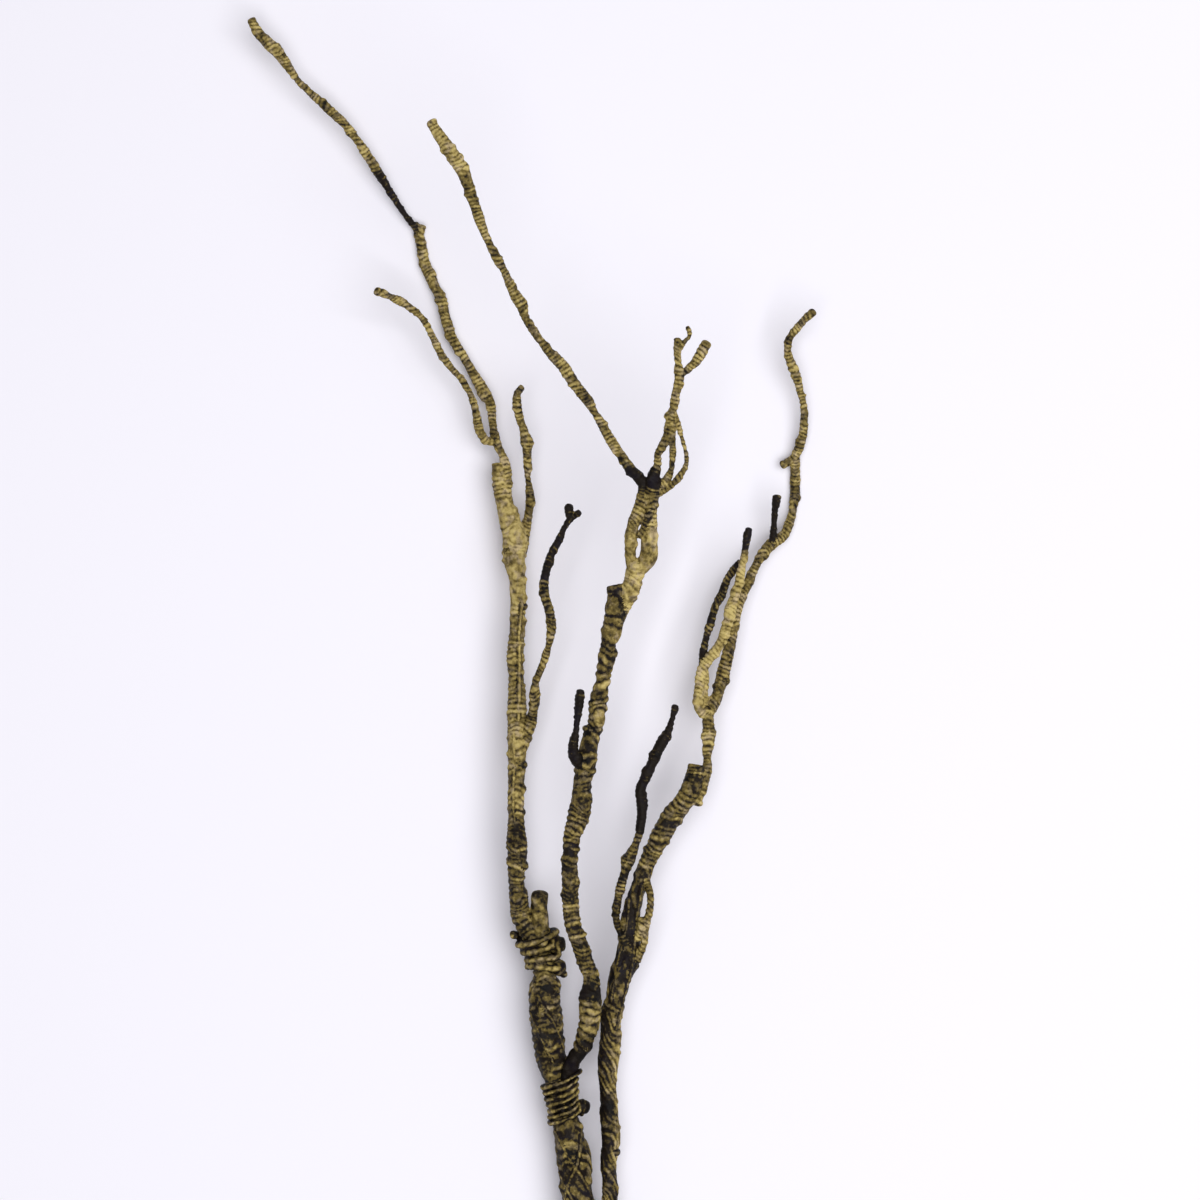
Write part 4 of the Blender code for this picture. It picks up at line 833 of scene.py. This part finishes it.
def add_node(tree, kind, settings=None, inputs=None, stops=()):
    """Adds a node with its settings, its inputs as values or links, and a ramp's stops."""
    node = tree.nodes.new(kind)
    for name, value in (settings or {}).items():
        setattr(node, name, value)
    for key, value in (inputs or {}).items():
        if isinstance(value, bpy.types.NodeSocket):
            tree.links.new(value, node.inputs[key])
        else:
            node.inputs[key].default_value = value
    if stops:
        ramp = node.color_ramp.elements
        while len(ramp) < len(stops):
            ramp.new(1.0)
        for element, (place, colour) in zip(ramp, stops):
            element.position = place
            element.color = linear(colour)
    return node


def scale_for(millimetres):
    """Noise scale whose features are about this large, on Object coordinates in metres."""
    return 1.0 / (millimetres * MM)


def dry_brushed(name, bare, full):
    """Paper cord under a black-brown coating, dry-brushed with ochre.

    The brush catches the crests, so they are pale and matt. Towards the grooves the paint
    thins to olive, and the grooves keep the coating's faint satin. Their darkness is also painted
    shade, for the shade that falls in them.
    """
    finish = bpy.data.materials.new(name)
    finish.use_nodes = True
    tree = finish.node_tree
    shader = tree.nodes["Principled BSDF"]
    place = add_node(tree, "ShaderNodeTexCoord").outputs["Object"]
    relief = add_node(tree, "ShaderNodeAttribute", {"attribute_name": "relief"})
    parts = add_node(tree, "ShaderNodeSeparateColor", inputs={0: relief.outputs["Color"]})

    marks = add_node(tree, "ShaderNodeTexNoise", inputs={
        "Vector": place, "Scale": scale_for(MARK_SIZE), "Detail": 2.0, "Roughness": 0.55})
    mottling = add_node(tree, "ShaderNodeTexNoise", inputs={
        "Vector": place, "Scale": scale_for(MOTTLE_SIZE), "Detail": 2.0})
    patches = add_node(tree, "ShaderNodeTexNoise", inputs={
        "Vector": place, "Scale": scale_for(PATCH_SIZE), "Detail": 2.0})

    # How thick the paint lies: most on crests and ochre stretches, least where it was left black. The
    # crests' share also keeps the grooves dark as painted shade
    weights = (
        (parts.outputs[0], CREST_PAINT_AND_SHADE_WEIGHT), (parts.outputs[1], OCHRE_WEIGHT),
        (parts.outputs[2], BLACK_WEIGHT), (marks.outputs[0], MARK_WEIGHT),
        (mottling.outputs[0], MOTTLE_WEIGHT), (patches.outputs[0], PATCH_WEIGHT),
    )
    thickness = 0.0
    for source, weight in weights:
        added = add_node(tree, "ShaderNodeMath", {"operation": "MULTIPLY_ADD"}, {
            0: source, 1: weight, 2: thickness})
        thickness = added.outputs[0]
    cover = add_node(tree, "ShaderNodeMapRange", inputs={
        "Value": thickness, "From Min": bare, "From Max": full})

    coating = add_node(tree, "ShaderNodeValToRGB", inputs={0: patches.outputs[0]}, stops=COATING_STOPS)
    ochre = add_node(tree, "ShaderNodeValToRGB", inputs={0: cover.outputs[0]}, stops=PAINT_STOPS)
    # In places the paint is greyer
    greyed = add_node(tree, "ShaderNodeTexNoise", inputs={
        "Vector": place, "Scale": scale_for(GREY_SIZE), "Detail": 3.0})
    grey_share = add_node(tree, "ShaderNodeMapRange", inputs={
        "Value": greyed.outputs[0], "From Min": 0.5, "From Max": 0.62, "To Max": GREYEST})
    paint = add_node(tree, "ShaderNodeMix", {"data_type": "RGBA", "blend_type": "COLOR"}, {
        0: grey_share.outputs[0], 6: ochre.outputs[0], 7: linear(TAUPE)})
    opaque = add_node(tree, "ShaderNodeMapRange", {"interpolation_type": "SMOOTHSTEP"}, {
        "Value": cover.outputs[0], "From Max": OPAQUE_COVER})
    colour = add_node(tree, "ShaderNodeMix", {"data_type": "RGBA"}, {
        0: opaque.outputs[0], 6: coating.outputs[0], 7: paint.outputs[2]})
    gloss = add_node(tree, "ShaderNodeMapRange", inputs={
        "Value": cover.outputs[0], "To Min": COATING_ROUGHNESS, "To Max": PAINT_ROUGHNESS})

    # Paper fibres and paint crumbs, drawn coarse because real ones are too fine to show
    fibres = add_node(tree, "ShaderNodeTexNoise", inputs={
        "Vector": place, "Scale": scale_for(FIBRE_SIZE), "Detail": 3.0, "Roughness": 0.6})
    bump = add_node(tree, "ShaderNodeBump", inputs={
        "Height": fibres.outputs[0], "Strength": FIBRE_STRENGTH, "Distance": FIBRE_HEIGHT * MM})
    shader.inputs["Specular IOR Level"].default_value = SPECULAR_LEVEL
    tree.links.new(colour.outputs[2], shader.inputs["Base Color"])
    tree.links.new(gloss.outputs[0], shader.inputs["Roughness"])
    tree.links.new(bump.outputs[0], shader.inputs["Normal"])
    return finish


def finish_piece(piece, look, node):
    """Gives a piece its finish and puts it in the place of the node that it stands for."""
    piece.data.materials.clear()
    piece.data.materials.append(look)
    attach(piece, "root")
    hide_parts(node)


def camera():
    """Straight above the branch, so that the branch fills the frame as it does in the photo."""
    bpy.ops.object.camera_add(location=Vector((0, SEEN_MIDDLE_Y, CAMERA_HEIGHT)) * MM, rotation=(0, 0, 0))
    eye = bpy.context.object
    eye.data.sensor_width = SENSOR_WIDTH
    eye.data.lens = SENSOR_WIDTH * (CAMERA_HEIGHT - SEEN_AT_Z) / SEEN_WIDTH
    bpy.context.scene.camera = eye


def soft_light(name, place, size, power):
    """A large square light that faces the middle of the branch."""
    target = Vector((0, SEEN_MIDDLE_Y, 0)) * MM
    here = Vector(place)
    bpy.ops.object.light_add(type="AREA", location=here)
    light = bpy.context.object
    light.name = name
    light.rotation_euler = (target - here).to_track_quat("-Z", "Y").to_euler()
    light.data.size = size
    light.data.energy = power
    light.data.color = linear(LIGHT_WHITE)[:3]


def studio():
    """A pale floor under one large soft light and a dim pale surround."""
    bpy.ops.mesh.primitive_plane_add(size=FLOOR_WIDTH, location=(0, SEEN_MIDDLE_Y * MM, 0))
    floor = bpy.context.object
    floor.name = "floor"
    bpy.ops.object.transform_apply(location=True, rotation=True, scale=True)
    card = bpy.data.materials.new("pale_backdrop_card")
    card.use_nodes = True
    shader = card.node_tree.nodes["Principled BSDF"]
    place = add_node(card.node_tree, "ShaderNodeTexCoord").outputs["Object"]
    # The card's fibre barely shows
    grain = add_node(card.node_tree, "ShaderNodeTexNoise", inputs={
        "Vector": place, "Scale": scale_for(CARD_FIBRE_SIZE)})
    bump = add_node(card.node_tree, "ShaderNodeBump", inputs={
        "Height": grain.outputs[0], "Strength": CARD_BUMP_STRENGTH, "Distance": CARD_BUMP_HEIGHT * MM})
    card.node_tree.links.new(bump.outputs[0], shader.inputs["Normal"])
    shader.inputs["Base Color"].default_value = linear(FLOOR_PALE)
    shader.inputs["Roughness"].default_value = CARD_ROUGHNESS
    floor.data.materials.append(card)

    world = bpy.context.scene.world or bpy.data.worlds.new("studio")
    bpy.context.scene.world = world
    world.use_nodes = True
    background = world.node_tree.nodes["Background"]
    background.inputs["Color"].default_value = linear(FLOOR_PALE)
    background.inputs["Strength"].default_value = WORLD_STRENGTH
    soft_light("key_light", KEY_PLACE, KEY_SIZE, KEY_POWER)
    bpy.context.scene.view_settings.view_transform = "Standard"


bpy.ops.object.select_all(action="DESELECT")
camera()
studio()

bark = dry_brushed("coated_paper_twine_bark", bare=2.8, full=4.9)
twine = dry_brushed("coated_binding_twine", bare=2.75, full=4.85)

main_branches = [
    (STUB, STEM_WINDING, STUB_WINDINGS, STUB_TONES),
    (LONG_LEFT_TWIG, TWIG_WINDING, (), LONG_LEFT_TONES),
    (SHORT_LEFT_TWIG, TWIG_WINDING, (), ()),
    (UPRIGHT_TWIG, TWIG_WINDING, (), ()),
    (DARK_TWIG, TWIG_WINDING, (), DARK_TONES),
    (SECOND_BUD, TWIG_WINDING, (), DARK_TONES),
    (NODE_BUD, TWIG_WINDING, (), ()),
]
middle_branches = [
    (MIDDLE_NECK, STEM_WINDING, (), BRIGHT_TONES),
    (MIDDLE_LEFT_STRAND, TWIG_WINDING, STRAND_WINDINGS, LEFT_STRAND_TONES),
    (MIDDLE_RIGHT_STRAND, TWIG_WINDING, STRAND_WINDINGS, LEFT_STRAND_TONES),
    (LOOP_STRAND, TWIG_WINDING, (), ()),
    (OUTER_LOOP, TWIG_WINDING, (), ()),
    (FORK_TWIG, TWIG_WINDING, (), ()),
    (LITTLE_FORK, TWIG_WINDING, (), ()),
    (MIDDLE_BUD_TWIG, TWIG_WINDING, (), MIDDLE_BUD_TONES),
    (LOOP_BUD, TWIG_WINDING, (), ()),
    (CROSSING_STRAND, TWIG_WINDING, (), CROSSING_TONES),
]
right_branches = [
    (RIGHT_TWIG, TWIG_WINDING, (), ()),
    (YELLOW_STRAND, TWIG_WINDING, (), BRIGHT_TONES),
    (THIN_STRAND, TWIG_WINDING, (), BRIGHT_TONES),
    (RIGHT_STRAND, TWIG_WINDING, (), ()),
    (RIGHT_TIP_TWIG, TWIG_WINDING, (), ()),
    (BUD_TWIG, TWIG_WINDING, (), BUD_TONES),
    (BACK_TWIG, TWIG_WINDING, (), BACK_TONES),
    (SIDE_TWIG, TWIG_WINDING, (), SIDE_TONES),
    (BOW_TWIG, TWIG_WINDING, (), ()),
    (BOW_BUD, TWIG_WINDING, (), ()),
]

main_stem = stem_piece(
    "main_stem_wound", MAIN_STEM, MAIN_WINDINGS, TRUNK_TONES, main_branches, MAIN_KNOBS, MAIN_STRANDS,
    seed=1000, start=CUT_END,
)
finish_piece(main_stem, bark, "main_stem")

middle_stem = stem_piece(
    "middle_stem_wound", MIDDLE_STEM, MIDDLE_WINDINGS, MIDDLE_TONES, middle_branches, MIDDLE_KNOBS, (),
    seed=3000,
)
finish_piece(middle_stem, bark, "middle_stem")

right_stem = stem_piece(
    "right_stem_wound", RIGHT_STEM, RIGHT_WINDINGS, RIGHT_TONES, right_branches, RIGHT_KNOBS, RIGHT_STRANDS,
    seed=5000, paint_and_light_leans=RIGHT_PAINT_AND_LIGHT_LEANS,
)
finish_piece(right_stem, bark, "right_stem")

crotch_cord = binding_piece(
    "crotch_cord", [MAIN_STEM, MIDDLE_STEM], CROTCH_BINDING, [CROTCH_KNOT], seed=7000,
)
finish_piece(crotch_cord, twine, "crotch_binding")

stub_cord = binding_piece("stub_cord", [MAIN_STEM], STUB_BINDING, STUB_KNOTS, seed=7100, beside=[STUB])
finish_piece(stub_cord, twine, "stub_binding")

foot_cord = binding_piece("foot_cord", [MAIN_STEM, RIGHT_STEM], FOOT_BINDING, [], seed=7200)
finish_piece(foot_cord, twine, "foot_binding")
